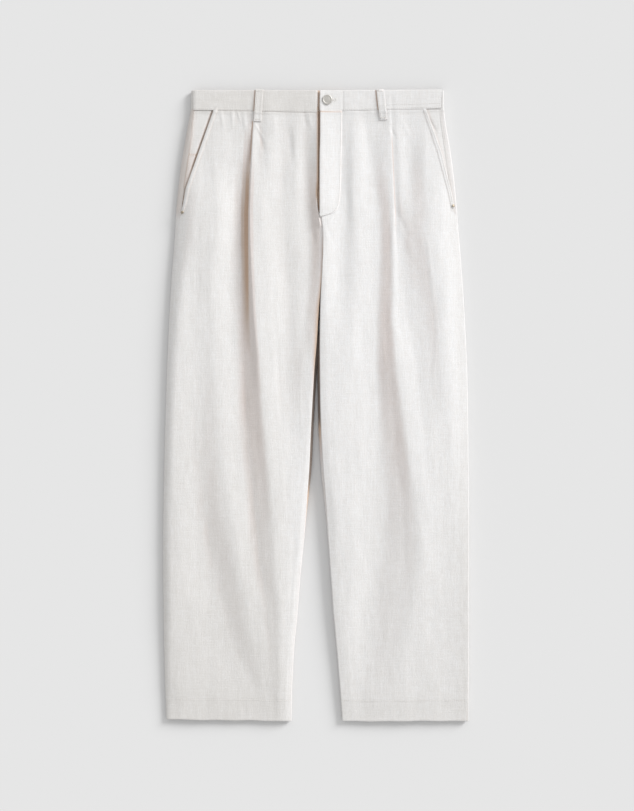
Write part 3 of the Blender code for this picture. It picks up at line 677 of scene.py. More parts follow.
@dataclass
class Cloth:
    """A grid of points, rows down the leg and columns across, that becomes a thin sheet."""

    points: Array
    # Painted shade of each point, from 0 to 1, which darkens and warms the colour in folds, gaps
    # and turned edges.
    crease: Array | None = None

    def __post_init__(self) -> None:
        """Start with no painted shade where none is given."""
        if self.crease is None:
            self.crease = np.zeros(self.points.shape[:2])

    def normals(self) -> Array:
        """Unit normals of the grid, up on the front.

        Returns:
            One unit vector a point.
        """
        across = np.gradient(self.points, axis=1)
        down = np.gradient(self.points, axis=0)
        normal = np.cross(down, across)
        return normal / np.maximum(np.linalg.norm(normal, axis=-1, keepdims=True), 1e-9)

    def lifted(self, height: float | Array) -> Cloth:
        """The same sheet moved out along its normals.

        Args:
            height: How far, in all or point by point.

        Returns:
            The moved sheet.
        """
        lift = np.asarray(height, float)
        if lift.ndim == 2:
            lift = lift[..., None]
        return Cloth(self.points + self.normals() * lift, self.crease)

    def turned(self, edge: Edge, radius: float, depth: float, upward: float = 1.0,
               dark: float | Array = 0.08) -> Cloth:
        """The sheet with one edge folded under.

        Args:
            edge: Which edge is folded.
            radius: Half the thickness of the folded edge.
            depth: How far the cloth runs back beneath.
            upward: 1 to fold away from the normals, -1 toward them.
            dark: How much painted shade the fold itself carries, in all or point by point along it.

        Returns:
            The sheet with more rows or columns.
        """
        points, normal, crease = self.points, self.normals() * upward, self.crease
        if edge in (Edge.FIRST_COLUMN, Edge.LAST_COLUMN):
            points, normal, crease = points.swapaxes(0, 1), normal.swapaxes(0, 1), crease.T
        flip = edge in (Edge.LAST_ROW, Edge.LAST_COLUMN)
        if flip:
            points, normal, crease = points[::-1], normal[::-1], crease[::-1]
        out = points[0] - points[1]
        out = out / np.maximum(np.linalg.norm(out, axis=-1, keepdims=True), 1e-9)
        up = normal[0]
        added = []
        for turn in (1, 2, 3, 4):
            angle = turn * math.pi / 4.0
            added.append(points[0] + out * radius * math.sin(angle)
                         - up * radius * (1.0 - math.cos(angle)))
        steps = max(1, int(depth / 3.0))
        for step in range(1, steps + 1):
            added.append(added[3] - out * depth * step / steps)
        dark = np.broadcast_to(np.asarray(dark, float), crease[0].shape)
        bent = [dark * turn / 2.0 for turn in (1, 2, 3, 4)]
        amount = np.stack(bent + [np.maximum(0.15, dark)] * steps)
        fold = np.maximum(crease[0][None, :], amount)
        points = np.concatenate([np.stack(added[::-1]), points])
        crease = np.concatenate([fold[::-1], crease])
        if flip:
            points, crease = points[::-1], crease[::-1]
        if edge in (Edge.FIRST_COLUMN, Edge.LAST_COLUMN):
            points, crease = points.swapaxes(0, 1), crease.T
        return Cloth(points, crease)

    def bound(self, radius: float, depth: float) -> Cloth:
        """The sheet with both long edges folded under."""
        once = self.turned(Edge.FIRST_COLUMN, radius, depth)
        return once.turned(Edge.LAST_COLUMN, radius, depth)

    def dressed(self, name: str, node: str, slot: str, finish: bpy.types.Material
                ) -> bpy.types.Object:
        """The sheet as a finished piece."""
        return Piece(self.made(name), [node], slot).ride(finish)

    def made(self, name: str) -> bpy.types.Object:
        """Mesh object of the sheet.

        Args:
            name: Name of the piece.

        Returns:
            The new object, smooth shaded, in metres.
        """
        rows, columns, _ = self.points.shape
        index = np.arange(rows * columns).reshape(rows, columns)
        quads = np.stack([index[:-1, :-1], index[1:, :-1], index[1:, 1:], index[:-1, 1:]], axis=-1)
        piece = mesh_piece(name, self.points.reshape(-1, 3), quads.reshape(-1, 4))
        # Both layers hold painted shade: the one of folds and gaps, and the broad one over the
        # garment.
        fade = faded(self.points[..., 0], LENGTH / 2.0 - self.points[..., 1])
        for layer, values in (("crease", self.crease), ("fade", fade)):
            store = piece.data.attributes.new(layer, "FLOAT", "POINT")
            store.data.foreach_set("value", np.ascontiguousarray(values, dtype=np.float32).ravel())
        return piece


def faded(x: Array, drop: Array) -> Array:
    """Share of painted shade over the garment, which mixes the cloth's tone toward its darker yarn.

    Args:
        x: Distance to the wearer's left.
        drop: Distance down from the waist.

    Returns:
        The share of painted shade at each point.
    """
    right, left = (read(PAINTED_FALLOFF[side], "share", drop) for side in Side)
    right = right * (1.0 - 0.75 * ease((x + 70.0) / 45.0) * ease((drop - 420.0) / 200.0))
    # Painted shade on the strip of the right side that turns from the light.
    strip = ease((read(SIDE_STRIP, "x", drop) - x) / 3.0)
    right = right + 0.5 * strip * ease((drop - 33.0) / 5.0) * ease((214.0 - drop) / 14.0)
    # Painted shade that dims the highlight on the left leg's outer rim.
    rim = ease((x - read(OUTLINE, "left_side", drop) + 22.0) / 12.0)
    left = left + 0.16 * rim * ease((drop - 44.0) / 40.0)
    return np.where(x < 5.0, right, left)


def mesh_piece(name: str, points: Array, faces: Array) -> bpy.types.Object:
    """Object from points in millimetres and faces of one size.

    Args:
        name: Name of the piece.
        points: Corner points, one row each.
        faces: Corner numbers, one row a face.

    Returns:
        The new object, smooth shaded.
    """
    mesh = bpy.data.meshes.new(name)
    count, size = faces.shape
    mesh.vertices.add(len(points))
    mesh.vertices.foreach_set("co", (points * MM).astype(np.float32).ravel())
    mesh.loops.add(count * size)
    mesh.loops.foreach_set("vertex_index", faces.astype(np.int32).ravel())
    mesh.polygons.add(count)
    mesh.polygons.foreach_set("loop_start", np.arange(0, count * size, size, dtype=np.int32))
    mesh.update(calc_edges=True)
    mesh.validate()
    mesh.shade_smooth()
    piece = bpy.data.objects.new(name, mesh)
    bpy.context.scene.collection.objects.link(piece)
    return piece


class Value:
    """A shader socket that takes part in sums and products."""

    def __init__(self, tree: bpy.types.NodeTree, socket: bpy.types.NodeSocket) -> None:
        """Wrap an output socket of a node tree."""
        self.tree = tree
        self.socket = socket

    def math(self, operation: str, *others: Value | float, swap: bool = False) -> Value:
        """Add a Math node.

        Args:
            operation: The node's operation.
            others: Its other inputs.
            swap: True to put this value second.

        Returns:
            The node's output.
        """
        node = self.tree.nodes.new("ShaderNodeMath")
        node.operation = operation
        inputs: list[Value | float] = [self, *others]
        if swap:
            inputs.reverse()
        for slot, given in zip(node.inputs, inputs):
            if isinstance(given, Value):
                self.tree.links.new(given.socket, slot)
            else:
                slot.default_value = given
        return Value(self.tree, node.outputs[0])

    def __add__(self, other: Value | float) -> Value:
        """Sum."""
        return self.math("ADD", other)

    __radd__ = __add__

    def __sub__(self, other: Value | float) -> Value:
        """Difference."""
        return self.math("SUBTRACT", other)

    def __rsub__(self, other: float) -> Value:
        """Difference from a number."""
        return self.math("SUBTRACT", other, swap=True)

    def __mul__(self, other: Value | float) -> Value:
        """Product."""
        return self.math("MULTIPLY", other)

    __rmul__ = __mul__

    def scaled(self, factors: Sequence[float]) -> Value:
        """This vector times fixed factors, by a Vector Math node.

        Args:
            factors: One factor for each axis.

        Returns:
            The scaled vector.
        """
        node = self.tree.nodes.new("ShaderNodeVectorMath")
        node.operation = "MULTIPLY"
        self.tree.links.new(self.socket, node.inputs[0])
        node.inputs[1].default_value = factors
        return Value(self.tree, node.outputs[0])

    def held(self) -> Value:
        """This value kept between 0 and 1."""
        return self.math("MINIMUM", 1.0).math("MAXIMUM", 0.0)


class Shader:
    """A material's node tree, with short ways to add nodes."""

    def __init__(self, name: str) -> None:
        """Make a material with an empty Principled shader.

        Args:
            name: Name of the material.
        """
        self.material = bpy.data.materials.new(name)
        self.material.use_nodes = True
        self.tree = self.material.node_tree
        self.surface = self.tree.nodes["Principled BSDF"]

    def node(self, kind: str, settings: Mapping[str, object] | None = None,
             output: int | str = 0, **sockets: object) -> Value:
        """Add any node.

        Args:
            kind: The node's type.
            settings: Its own properties, set first.
            output: Which output is wanted.
            sockets: Values or links of its inputs, by name with _ for a space.

        Returns:
            The wanted output.
        """
        made = self.tree.nodes.new(kind)
        for name, given in (settings or {}).items():
            if name == "stops":
                ramp = made.color_ramp
                while len(ramp.elements) > 1:
                    ramp.elements.remove(ramp.elements[-1])
                for place, (spot, colour) in enumerate(given):
                    stop = ramp.elements[0] if place == 0 else ramp.elements.new(spot)
                    stop.position = spot
                    stop.color = colour
            else:
                setattr(made, name, given)
        for name, given in sockets.items():
            wanted = name.replace("_", " ")
            slot = next(s for s in made.inputs if s.name == wanted and s.enabled)
            if isinstance(given, Value):
                self.tree.links.new(given.socket, slot)
            else:
                slot.default_value = given
        return Value(self.tree, made.outputs[output])

    def place(self, wide: float, long: float) -> Value:
        """Object coordinates with one unit every so many millimetres each way."""
        at = self.node("ShaderNodeTexCoord", output="Object")
        return at.scaled((1.0 / (wide * MM), 1.0 / (long * MM), 1.0 / (wide * MM)))

    def noise(self, wide: float, long: float, detail: float = 2.0, rough: float = 0.5) -> Value:
        """Noise of about the given feature size, from 0 to 1.

        Args:
            wide: Size of a feature across, in millimetres.
            long: Size of a feature down the leg, in millimetres.
            detail: Number of finer layers.
            rough: Weight of the finer layers.

        Returns:
            The node's output.
        """
        at = self.place(wide, long)
        return self.node("ShaderNodeTexNoise", {"noise_dimensions": "3D"}, "Fac", Vector=at,
                         Scale=1.0, Detail=detail, Roughness=rough)

    def feed(self, name: str, given: object) -> None:
        """Set or link one of the Principled shader's sockets.

        Args:
            name: Name of the socket.
            given: A value, or an output to link.
        """
        slot = self.surface.inputs[name]
        if isinstance(given, Value):
            self.tree.links.new(given.socket, slot)
        else:
            slot.default_value = given


@dataclass(frozen=True)
class Denim:
    """Matt slub denim with a fine crossed weave."""

    name: str
    colour: tuple[float, float, float] = (0.80, 0.801, 0.807)
    cream: tuple[float, float, float] = (0.80, 0.787, 0.782)
    # Darker yarn of the streaks, toward which the painted broad shade also mixes.
    shade: tuple[float, float, float] = (0.655, 0.638, 0.616)
    # Tints of the painted shade by its share: darker and warmer in folds and gaps, nearly black in
    # the deepest.
    creased: Sequence[tuple[float, tuple[float, float, float]]] = (
        (0.0, (1.0, 1.0, 1.0)), (0.3, (0.95, 0.878, 0.85)), (0.6, (0.85, 0.735, 0.655)),
        (0.84, (0.75, 0.56, 0.43)), (1.0, (0.26, 0.21, 0.18)))
    streaks: float = 0.55
    bump: float = 0.5

    def made(self) -> bpy.types.Material:
        """The finish as a material.

        Returns:
            The new material.
        """
        shader = Shader(self.name)
        warp = shader.noise(1.7, 24.0, 3.0, 0.6)
        weft = shader.noise(20.0, 1.5, 3.0, 0.6)
        fleck = shader.noise(2.2, 3.6, 2.0, 0.6)
        cloud = shader.noise(45.0, 90.0, 2.0, 0.5)
        tone = (warp - 0.5) * 1.35 + (weft - 0.5) * 1.15 + (fleck - 0.5) * 0.9
        tone = tone + (cloud - 0.5) * 0.35
        fade = shader.node("ShaderNodeAttribute", {"attribute_name": "fade"}, "Fac")
        crease = shader.node("ShaderNodeAttribute", {"attribute_name": "crease"}, "Fac")
        mottle = shader.noise(8.0, 14.0, 3.0, 0.6)
        # The painted broad shade layer pushes the colour toward the darker yarn.
        share = (tone * self.streaks + (mottle - 0.5) * 0.35 + fade + 0.28).held()
        warmth = ((shader.noise(4.0, 9.0, 2.0, 0.5) - 0.5) * 3.0 + 0.4).held()
        clean = shader.node("ShaderNodeMix", {"data_type": "RGBA"}, 2, Factor=warmth,
                            A=(*self.colour, 1.0), B=(*self.cream, 1.0))
        yarn = shader.node("ShaderNodeMix", {"data_type": "RGBA"}, 2, Factor=share,
                           A=clean, B=(*self.shade, 1.0))
        # The painted shade layer tints the yarn's colour.
        stops = [(at, (*tint, 1.0)) for at, tint in self.creased]
        shade_tint = shader.node("ShaderNodeValToRGB", {"stops": stops}, "Color", Fac=crease)
        colour = shader.node("ShaderNodeMix", {"data_type": "RGBA", "blend_type": "MULTIPLY"}, 2,
                             Factor=1.0, A=yarn, B=shade_tint)
        shader.feed("Base Color", colour)
        shader.feed("Roughness", 0.92)
        shader.surface.inputs["Specular IOR Level"].default_value = 0.15
        shader.surface.inputs["Sheen Weight"].default_value = 0.12
        shader.surface.inputs["Sheen Roughness"].default_value = 0.6
        yarns = [shader.node("ShaderNodeTexWave", {"bands_direction": way, "wave_profile": "SIN"},
                             "Fac", Vector=shader.place(1.0, 1.0), Scale=scale, Distortion=1.2,
                             Detail=1.0, Detail_Scale=0.6)
                 for way, scale in (("X", 0.32), ("Y", 0.30))]
        weave = yarns[0] * yarns[1] * 0.7 + warp * 0.9 + weft * 0.7 + fleck * 0.8
        bump = shader.node("ShaderNodeBump", {}, "Normal", Strength=self.bump, Distance=0.0007,
                           Height=weave)
        shader.feed("Normal", bump)
        return shader.material


@dataclass(frozen=True)
class Yarn:
    """Twisted cotton sewing thread."""

    name: str
    colour: tuple[float, float, float] = (0.785, 0.765, 0.735)

    def made(self) -> bpy.types.Material:
        """The finish as a material.

        Returns:
            The new material.
        """
        shader = Shader(self.name)
        ply = shader.noise(0.5, 0.5, 2.0, 0.6)
        lot = shader.noise(6.0, 6.0, 1.0, 0.5)
        dark = tuple(0.78 * part for part in self.colour)
        share = ((ply - 0.5) * 1.4 + (lot - 0.5) * 0.8 + 0.3).held()
        colour = shader.node("ShaderNodeMix", {"data_type": "RGBA"}, 2, Factor=share,
                             A=(*self.colour, 1.0), B=(*dark, 1.0))
        shader.feed("Base Color", colour)
        shader.feed("Roughness", ply * 0.2 + 0.6)
        shader.feed("Normal", shader.node("ShaderNodeBump", {}, "Normal", Strength=0.4,
                                          Distance=0.0002, Height=ply))
        return shader.material


@dataclass(frozen=True)
class Metal:
    """Satin metal with fine wear."""

    name: str
    colour: tuple[float, float, float]
    roughness: float = 0.36

    def made(self) -> bpy.types.Material:
        """The finish as a material.

        Returns:
            The new material.
        """
        shader = Shader(self.name)
        wear = shader.noise(0.9, 0.9, 3.0, 0.6)
        tarnish = shader.noise(3.0, 3.0, 2.0, 0.5)
        dark = tuple(0.62 * part for part in self.colour)
        share = ((wear - 0.45) * 1.6 + (tarnish - 0.5)).held()
        colour = shader.node("ShaderNodeMix", {"data_type": "RGBA"}, 2, Factor=share,
                             A=(*self.colour, 1.0), B=(*dark, 1.0))
        shader.feed("Base Color", colour)
        shader.feed("Metallic", 1.0)
        shader.feed("Roughness", wear * 0.25 + self.roughness - 0.1)
        return shader.material


def spaced(start: float, stop: float, count: int) -> Array:
    """Even values from start to stop."""
    return np.linspace(start, stop, count + 1)


@dataclass
class Piece:
    """One finished piece, the model parts that it hides, and a slot name."""

    thing: bpy.types.Object
    replaces: Sequence[str]
    slot: str

    def ride(self, finish: bpy.types.Material) -> bpy.types.Object:
        """Dress the piece and set it on the body.

        Args:
            finish: The material.

        Returns:
            The dressed piece.
        """
        self.thing.data.materials.append(finish)
        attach(self.thing, "root")
        if self.replaces:
            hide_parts(*self.replaces)
        LOG.info("%s: %d faces", self.thing.name, len(self.thing.data.polygons))
        return self.thing


@dataclass
class Leg:
    """One leg: the front and back panels and the turned hem."""

    side: Side
    form: Form
    pitch: float = 1.6
    cloth: float = 0.55
    turn: float = 0.8
    hem_fold: float = 0.9
    hem_depth: float = 33.0
    cap_steps: int = 8
    bend_steps: int = 12
    flat_steps: int = 60
    curl_steps: int = 10

    def rows(self, start: float, stop: float) -> Array:
        """Drops of the rows between two cuts."""
        return spaced(start, stop, max(2, int(round((stop - start) / (self.pitch * 1.35)))))

    def outer_edge(self, drop: Array) -> Array:
        """X of the front's outer edge: the pocket's welt, then the side seam.

        Args:
            drop: Distance down from the waist.

        Returns:
            X in each row.
        """
        mouth = MOUTHS[self.side]
        welt = read(mouth, "welt", drop)
        seam = self.form.seam(self.side, drop)
        share = ease((drop - 200.0) / 14.0)
        return welt + (seam - welt) * share

    def inner_edge(self, drop: Array) -> Array:
        """X of the front's inner edge.

        Args:
            drop: Distance down from the waist.

        Returns:
            X in each row.
        """
        centre = self.form.inner(self.side, drop)
        if self.side is Side.RIGHT:
            edge = Track(RIGHT_FRONT_EDGE["drop"], RIGHT_FRONT_EDGE["x"], 3.0)(drop)
            return np.where(drop < 240.0, np.minimum(centre, edge), centre)
        return centre

    def columns(self, drops: Array, outer: Array, inner: Array) -> Array:
        """X of the front's points, in columns that run along the folds.

        Args:
            drops: Distances of the rows down from the waist.
            outer: X of the outer edge in each row.
            inner: X of the inner edge in each row.

        Returns:
            One row a drop, from -X to +X.
        """
        sign = self.side.value
        knots, _ = self.form.nets[self.side].knots(drops, *self.form.ends(self.side, drops))
        lines = knots[1:-1] if self.side is Side.RIGHT else knots[1:-1][::-1]
        depths = [np.zeros_like(drops)]
        for place in lines:
            depths.append(np.maximum((outer - place) * sign, depths[-1] + 3.0))
        full = (outer - inner) * sign
        depths.append(full)
        for k in range(len(depths) - 2, 0, -1):
            depths[k] = np.minimum(depths[k], depths[k + 1] - 2.0)
        columns = [outer[:, None]]
        for k, (start, stop) in enumerate(zip(depths, depths[1:])):
            middle = float(np.median(stop - start))
            count = max(7, int(middle / self.pitch))
            share = spaced(0.0, 1.0, count)[None, 1:]
            if k == 0:
                share = 1.0 - np.cos(math.pi / 2.0 * spaced(0.0, 1.0, count + 6)[None, 1:])
            if k == len(depths) - 2:
                share = np.sin(math.pi / 2.0 * spaced(0.0, 1.0, count + 6)[None, 1:])
            depth = start[:, None] + (stop - start)[:, None] * share
            columns.append(outer[:, None] - sign * depth)
        x = np.concatenate(columns, axis=1)
        return x[:, ::-1] if self.side is Side.LEFT else x

    def creased(self, x: Array, drop: Array, outer: Array, inner: Array) -> Array:
        """Painted shade of the front's points: in the folds, along the pleat and by the edges.

        Args:
            x: Distance to the wearer's left.
            drop: Distance down from the waist.
            outer: X of the outer edge in each row.
            inner: X of the inner edge in each row.

        Returns:
            The painted shade of each point, from 0 to 1.
        """
        crease = self.form.depth(self.side, x, drop)
        # Painted shade: a line along the welt near the waist, shadow along the inner edge by the
        # fly and between the legs, and a line along the pleat's fold.
        if self.side is Side.RIGHT:
            crease = crease + 0.15 * bell(x - outer[:, None], 1.0) * ease((214.0 - drop) / 8.0)
            wide = 3.6 + 2.0 * ease((drop - 330.0) / 40.0) - 3.4 * ease((drop - 400.0) / 90.0)
            wide = wide - 1.4 * ease((205.0 - drop) / 20.0)
            near = bell(inner[:, None] - x, wide)
            shown = ease((drop - 226.0) / 40.0) * (1.0 - ease((drop - 440.0) / 90.0))
            shown = shown * (DEEP - 0.14 * ease((335.0 - drop) / 40.0))
            at_fly = DEEP * (1.0 - ease((drop - 172.0) / 22.0))
            crease = crease + near * np.maximum(shown, at_fly)
            pleat = np.interp(drop, (52, 85, 118, 150), (-105.2, -107.0, -109.4, -110.6))
            line = bell(x - pleat, 1.1) * ease((drop - 50.0) / 6.0) * ease((150.0 - drop) / 40.0)
            crease = np.maximum(np.minimum(crease, DEEP), DEEP * line)
        else:
            # Painted shade along the pleat's groove.
            groove = self.form.nets[self.side].lines["pleat_groove"][0](drop)
            line = bell(x - groove + 1.2, 0.9) * ease((drop - 70.0) / 20.0)
            crease = np.maximum(crease, 0.45 * line * ease((250.0 - drop) / 60.0))
        return np.clip(crease, 0.0, 1.0)

    def face(self, drops: Array) -> Cloth:
        """The front's face over these rows.

        Args:
            drops: Distances of the rows down from the waist.

        Returns:
            The sheet with its painted shade.
        """
        outer, inner = self.outer_edge(drops), self.inner_edge(drops)
        x = self.columns(drops, outer, inner)
        drop = np.broadcast_to(drops[:, None], x.shape)
        return Cloth(self.form.on_front(self.side, x, drop), self.creased(x, drop, outer, inner))

    def front(self) -> Cloth:
        """The front panel, with its seam edges turned under."""
        return self.face(self.rows(BAND_END - 4.5, HEM_START + 1.0)).bound(self.cloth, self.turn)

    def under(self, drops: Array, lift: float = 0.0) -> Cloth:
        """The back's face over these rows, from the side seam over the fold to the inner leg.

        Args:
            drops: Distances of the rows down from the waist.
            lift: Height of the flat part over the floor.

        Returns:
            The sheet with its painted shade.
        """
        side = self.side
        sign = side.value
        contour = self.form.contour(side, drops)[:, None]
        seam_in = np.abs(contour - self.form.seam(side, drops)[:, None])
        top_round = seam_in + 0.9
        turned = spaced(1.0, 0.0, self.cap_steps)[None, :]
        over = contour - sign * top_round * (1.0 - np.cos(math.pi / 2.0 * turned))
        cap = self.form.on_front(side, over, drops[:, None])
        cap[..., 2] -= 0.7 * turned ** 2
        angle = spaced(1.0, 0.0, self.bend_steps)[None, 1:] * math.pi / 2.0
        bend_x = contour - sign * BACK_CURL * (1.0 - np.sin(angle))
        bend_z = self.form.tracks[side.word + "_edge"](drops)[:, None] * (1.0 - np.cos(angle))
        apart = ease((drops - CROTCH - 40.0) / 60.0)
        inner = (9.4 + (self.form.inner(side, drops) - 9.4) * apart)[:, None]
        start = contour - sign * BACK_CURL
        end = inner + sign * BACK_CURL
        middle = spaced(0.0, 1.0, self.flat_steps)[None, 1:]
        flat_x = start + (end - start) * middle
        flat_z = np.zeros_like(flat_x) + lift
        angle = spaced(0.0, 1.0, self.curl_steps)[None, 1:] * math.pi / 2.0
        rise = (apart * self.form.tracks[side.word + "_inner_edge"](drops))[:, None]
        belly = 5.2 * ease((drops - 380.0) / 50.0)[:, None]
        belly = belly * (1.0 - ease((drops - 600.0) / 200.0))[:, None]
        curl_x = inner + sign * (BACK_CURL * (1.0 - np.sin(angle)) - belly * np.sin(2.0 * angle))
        curl_z = rise * (1.0 - np.cos(angle))
        x = np.concatenate([bend_x, flat_x, curl_x], axis=1)
        z = np.concatenate([bend_z, flat_z, curl_z], axis=1)
        y = self.form.level(side, x, drops[:, None])
        points = np.concatenate([cap, np.stack([x, y, z], axis=-1)], axis=1)
        # Painted shade on the rolled side near the waist, and on the inner curl in the gap between
        # the legs, paler lower down.
        crease = np.zeros(points.shape[:2])
        tint = 0.15 if side is Side.RIGHT else 0.04
        crease[:, :self.cap_steps + 1] = 0.02 + tint * ease((222.0 - drops) / 20.0)[:, None]
        start, fall = (640.0, 130.0) if side is Side.RIGHT else (540.0, 90.0)
        paler = ease((drops - start) / fall)
        lower = ease((drops - 250.0) / 40.0) * (1.0 - 0.9 * paler)
        crease[:, -self.curl_steps - 2:] = lower[:, None]
        if side is Side.LEFT:
            points, crease = points[:, ::-1], crease[:, ::-1]
        return Cloth(points, crease)

    def back(self) -> Cloth:
        """The back panel, flat where it rests."""
        return self.under(spaced(BAND_END - 1.0, HEM_START + 1.0, 180))

    def hem_front(self) -> Cloth:
        """Front half of the turned hem: the outer layer, the fold and the layer inside.

        Returns:
            The sheet.
        """
        sheet = self.face(self.rows(HEM_START, LENGTH - 0.9)).lifted(0.12)
        sheet = sheet.turned(Edge.LAST_ROW, self.hem_fold, self.hem_depth, dark=0.0)
        return sheet.bound(self.cloth, self.turn)

    def hem_back(self) -> Cloth:
        """Back half of the turned hem."""
        sheet = self.under(spaced(HEM_START, LENGTH - 0.9, 20))
        return sheet.turned(Edge.LAST_ROW, self.hem_fold, self.hem_depth, upward=-1.0, dark=0.0)

    def build(self, denim: bpy.types.Material) -> None:
        """Args:
            denim: The cloth's finish.
        """
        word = self.side.word
        front = self.front().dressed(f"front_cloth_{word}", f"front_{word}", "ecru_denim", denim)
        back = self.back().dressed(f"back_cloth_{word}", f"back_{word}", "ecru_denim", denim)
        hem_front = self.hem_front().dressed(
            f"hem_cloth_front_{word}", f"hem_front_{word}", "ecru_denim", denim)
        hem_back = self.hem_back().dressed(
            f"hem_cloth_back_{word}", f"hem_back_{word}", "ecru_denim", denim)


@dataclass
class Waistband:
    """The waistband: two fronts that lap at the button, and the back."""

    form: Form
    depth: float = BAND_END
    cloth: float = 1.1
    lap_start: float = 7.2
    lap_end: float = 46.0

    def shell(self, sheet: Cloth, inward: float, dark: float = 0.4) -> Cloth:
        """The band folded over its top edge, with a face inside."""
        # The turned lower edge carries painted shade.
        return sheet.turned(Edge.FIRST_ROW, 0.9, self.depth - 4.0, inward, 0.1).turned(
            Edge.LAST_ROW, 0.3, 1.0, inward, dark)

    @staticmethod
    def beside_loop(x: Array, points: Array, top: float, bottom: float, end: float) -> Array:
        """Painted shadow on the right-hand side of a belt loop, from 0 to 1.

        Args:
            x: Distance to the wearer's left.
            points: The band's points.
            top: X of the loop's top.
            bottom: X of its lower end.
            end: Drop of its lower end.

        Returns:
            The painted shadow at each point.
        """
        drop = LENGTH / 2.0 - points[..., 1]
        edge = top + (bottom - top) * drop / end - 7.3
        return 0.9 * bell(x - edge, 1.1)

    def right(self) -> Cloth:
        """Right front, which runs on under the left.

        Returns:
            The sheet.
        """
        share = spaced(0.0, 1.0, 24)
        edge = self.form.seam(Side.RIGHT, self.depth * share)[:, None]
        x = edge + (self.lap_end - edge) * spaced(0.0, 1.0, 170)[None, :]
        points = self.form.across_top(x, self.drops(x, share))
        points[..., 2] -= 2.6 * ease((x + 1.0) / 7.0)
        crease = self.beside_loop(x, points, *LOOPS[Side.RIGHT])
        # Painted shade where the band runs under the left front's lap.
        crease = np.maximum(crease, 0.8 * ease((x - 1.0) / 3.0))
        return self.shell(Cloth(points, crease).lifted(0.7), 1.0)

    def drops(self, x: Array, share: Array) -> Array:
        """Drop of each point of the band, between its two curved edges."""
        top = band_line("top", x) + 0.9
        return top + (band_line("bottom", x) - top) * share[:, None]

    def left(self) -> Cloth:
        """Left front, which laps over.

        Returns:
            The sheet.
        """
        share = spaced(0.0, 1.0, 24)
        edge = self.form.seam(Side.LEFT, self.depth * share)[:, None]
        x = self.lap_start + (edge - self.lap_start) * spaced(0.0, 1.0, 150)[None, :]
        points = self.form.on_front(Side.LEFT, x, self.drops(x, share))
        points[..., 2] += 1.0 * bell(x - 8.0, 5.0)
        crease = self.beside_loop(x, points, *LOOPS[Side.LEFT])
        sheet = self.shell(Cloth(points, crease).lifted(0.7), 1.0, 0.3)
        return sheet.turned(Edge.FIRST_COLUMN, 1.0, 1.0, dark=0.05)

    def back(self) -> Cloth:
        """Back of the band, flat where it rests.

        Returns:
            The sheet.
        """
        drops = spaced(3.2, self.depth + 3.0, 16)
        right = Leg(Side.RIGHT, self.form).under(drops).points
        left = Leg(Side.LEFT, self.form).under(drops).points
        points = np.concatenate([right[:, :-CURL_CUT], left[:, CURL_CUT:]], axis=1)
        return self.shell(Cloth(points), -1.0)

    def build(self, denim: bpy.types.Material) -> None:
        """Args:
            denim: The cloth's finish.
        """
        right = self.right().dressed(
            "waistband_cloth_right", "waistband_right", "waistband_denim", denim)
        left = self.left().dressed(
            "waistband_cloth_left", "waistband_left", "waistband_denim", denim)
        back = self.back().dressed(
            "waistband_cloth_back", "waistband_back", "waistband_denim", denim)


@dataclass
class Fly:
    """The stitched fly and the shield behind it."""

    form: Form

    def placket(self) -> Cloth:
        """The J that laps over the right front.

        Returns:
            The sheet.
        """
        drops = spaced(BAND_END, FLY_BOTTOM, 90)
        end = read(FLY_CURVE, "x", drops)[:, None]
        start = np.interp(drops, (75, 115), (7.7, 6.7))[:, None]
        x = start + (end - start) * spaced(0.0, 1.0, 26)[None, :]
        points = self.form.on_front(Side.LEFT, np.maximum(x, 8.6), drops[:, None])
        points[..., 0] = x
        settled = (1.0 - 0.55 * ease((drops - 194.0) / 16.0))[:, None]
        points[..., 2] += 0.8 * settled * bell(x - 8.0, 4.5)
        points[..., 2] += 0.5 * settled * ease((end - x) / 2.5)
        # Painted shade along the J's edge and under the waistband's lower edge.
        crease = 0.12 * bell(end - x, 0.9)
        crease = crease + 0.75 * bell(drops[:, None] - band_line("bottom", x) - 1.1, 1.0)
        sheet = Cloth(points, crease).lifted(0.45).turned(Edge.FIRST_COLUMN, 0.8, 4.0, dark=0.1)
        return sheet.turned(Edge.LAST_COLUMN, 0.2, 0.6)

    def shield(self) -> Cloth:
        """The right front's extension under the fly.

        Returns:
            The sheet.
        """
        drops = spaced(BAND_END - 2.0, 224.0, 90)
        end = read(SHIELD_EDGE, "x", drops)[:, None]
        x = -6.0 + (end + 6.0) * spaced(0.0, 1.0, 26)[None, :]
        points = self.form.across_top(x, drops[:, None])
        # The shield carries painted shade in full: it lies in the slit's shadow.
        return Cloth(points, np.full(x.shape, DEEP)).lifted(-3.0)

    def build(self, denim: bpy.types.Material) -> None:
        """Make and dress both pieces.

        Args:
            denim: The cloth's finish.
        """
        placket = self.placket().dressed("fly_cloth", "fly", "ecru_denim", denim)
        shield = self.shield().dressed("fly_shield_cloth", "fly_shield", "ecru_denim", denim)


@dataclass(frozen=True)
class WeltShape:
    """What differs between the two welts, in millimetres, and the flat size in metres."""

    end: float
    # The first field is painted shade along the welt's inner line; the two darks are painted shade
    # in its turned edges.
    crease: float
    dome: float
    lift: float
    radius: float
    first_dark: float
    last_dark: float
    flat: tuple[float, float]


# The left welt shows narrower than the right one, and its mouth is shorter.
WELTS: Mapping[Side, WeltShape] = {
    Side.RIGHT: WeltShape(207.0, 0.15, 0.6, 0.75, 0.6, 0.08, 0.5, (0.0125, 0.187)),
    Side.LEFT: WeltShape(198.0, 0.08, 0.15, 0.4, 0.35, 0.1, 0.25, (0.0105, 0.176)),
}


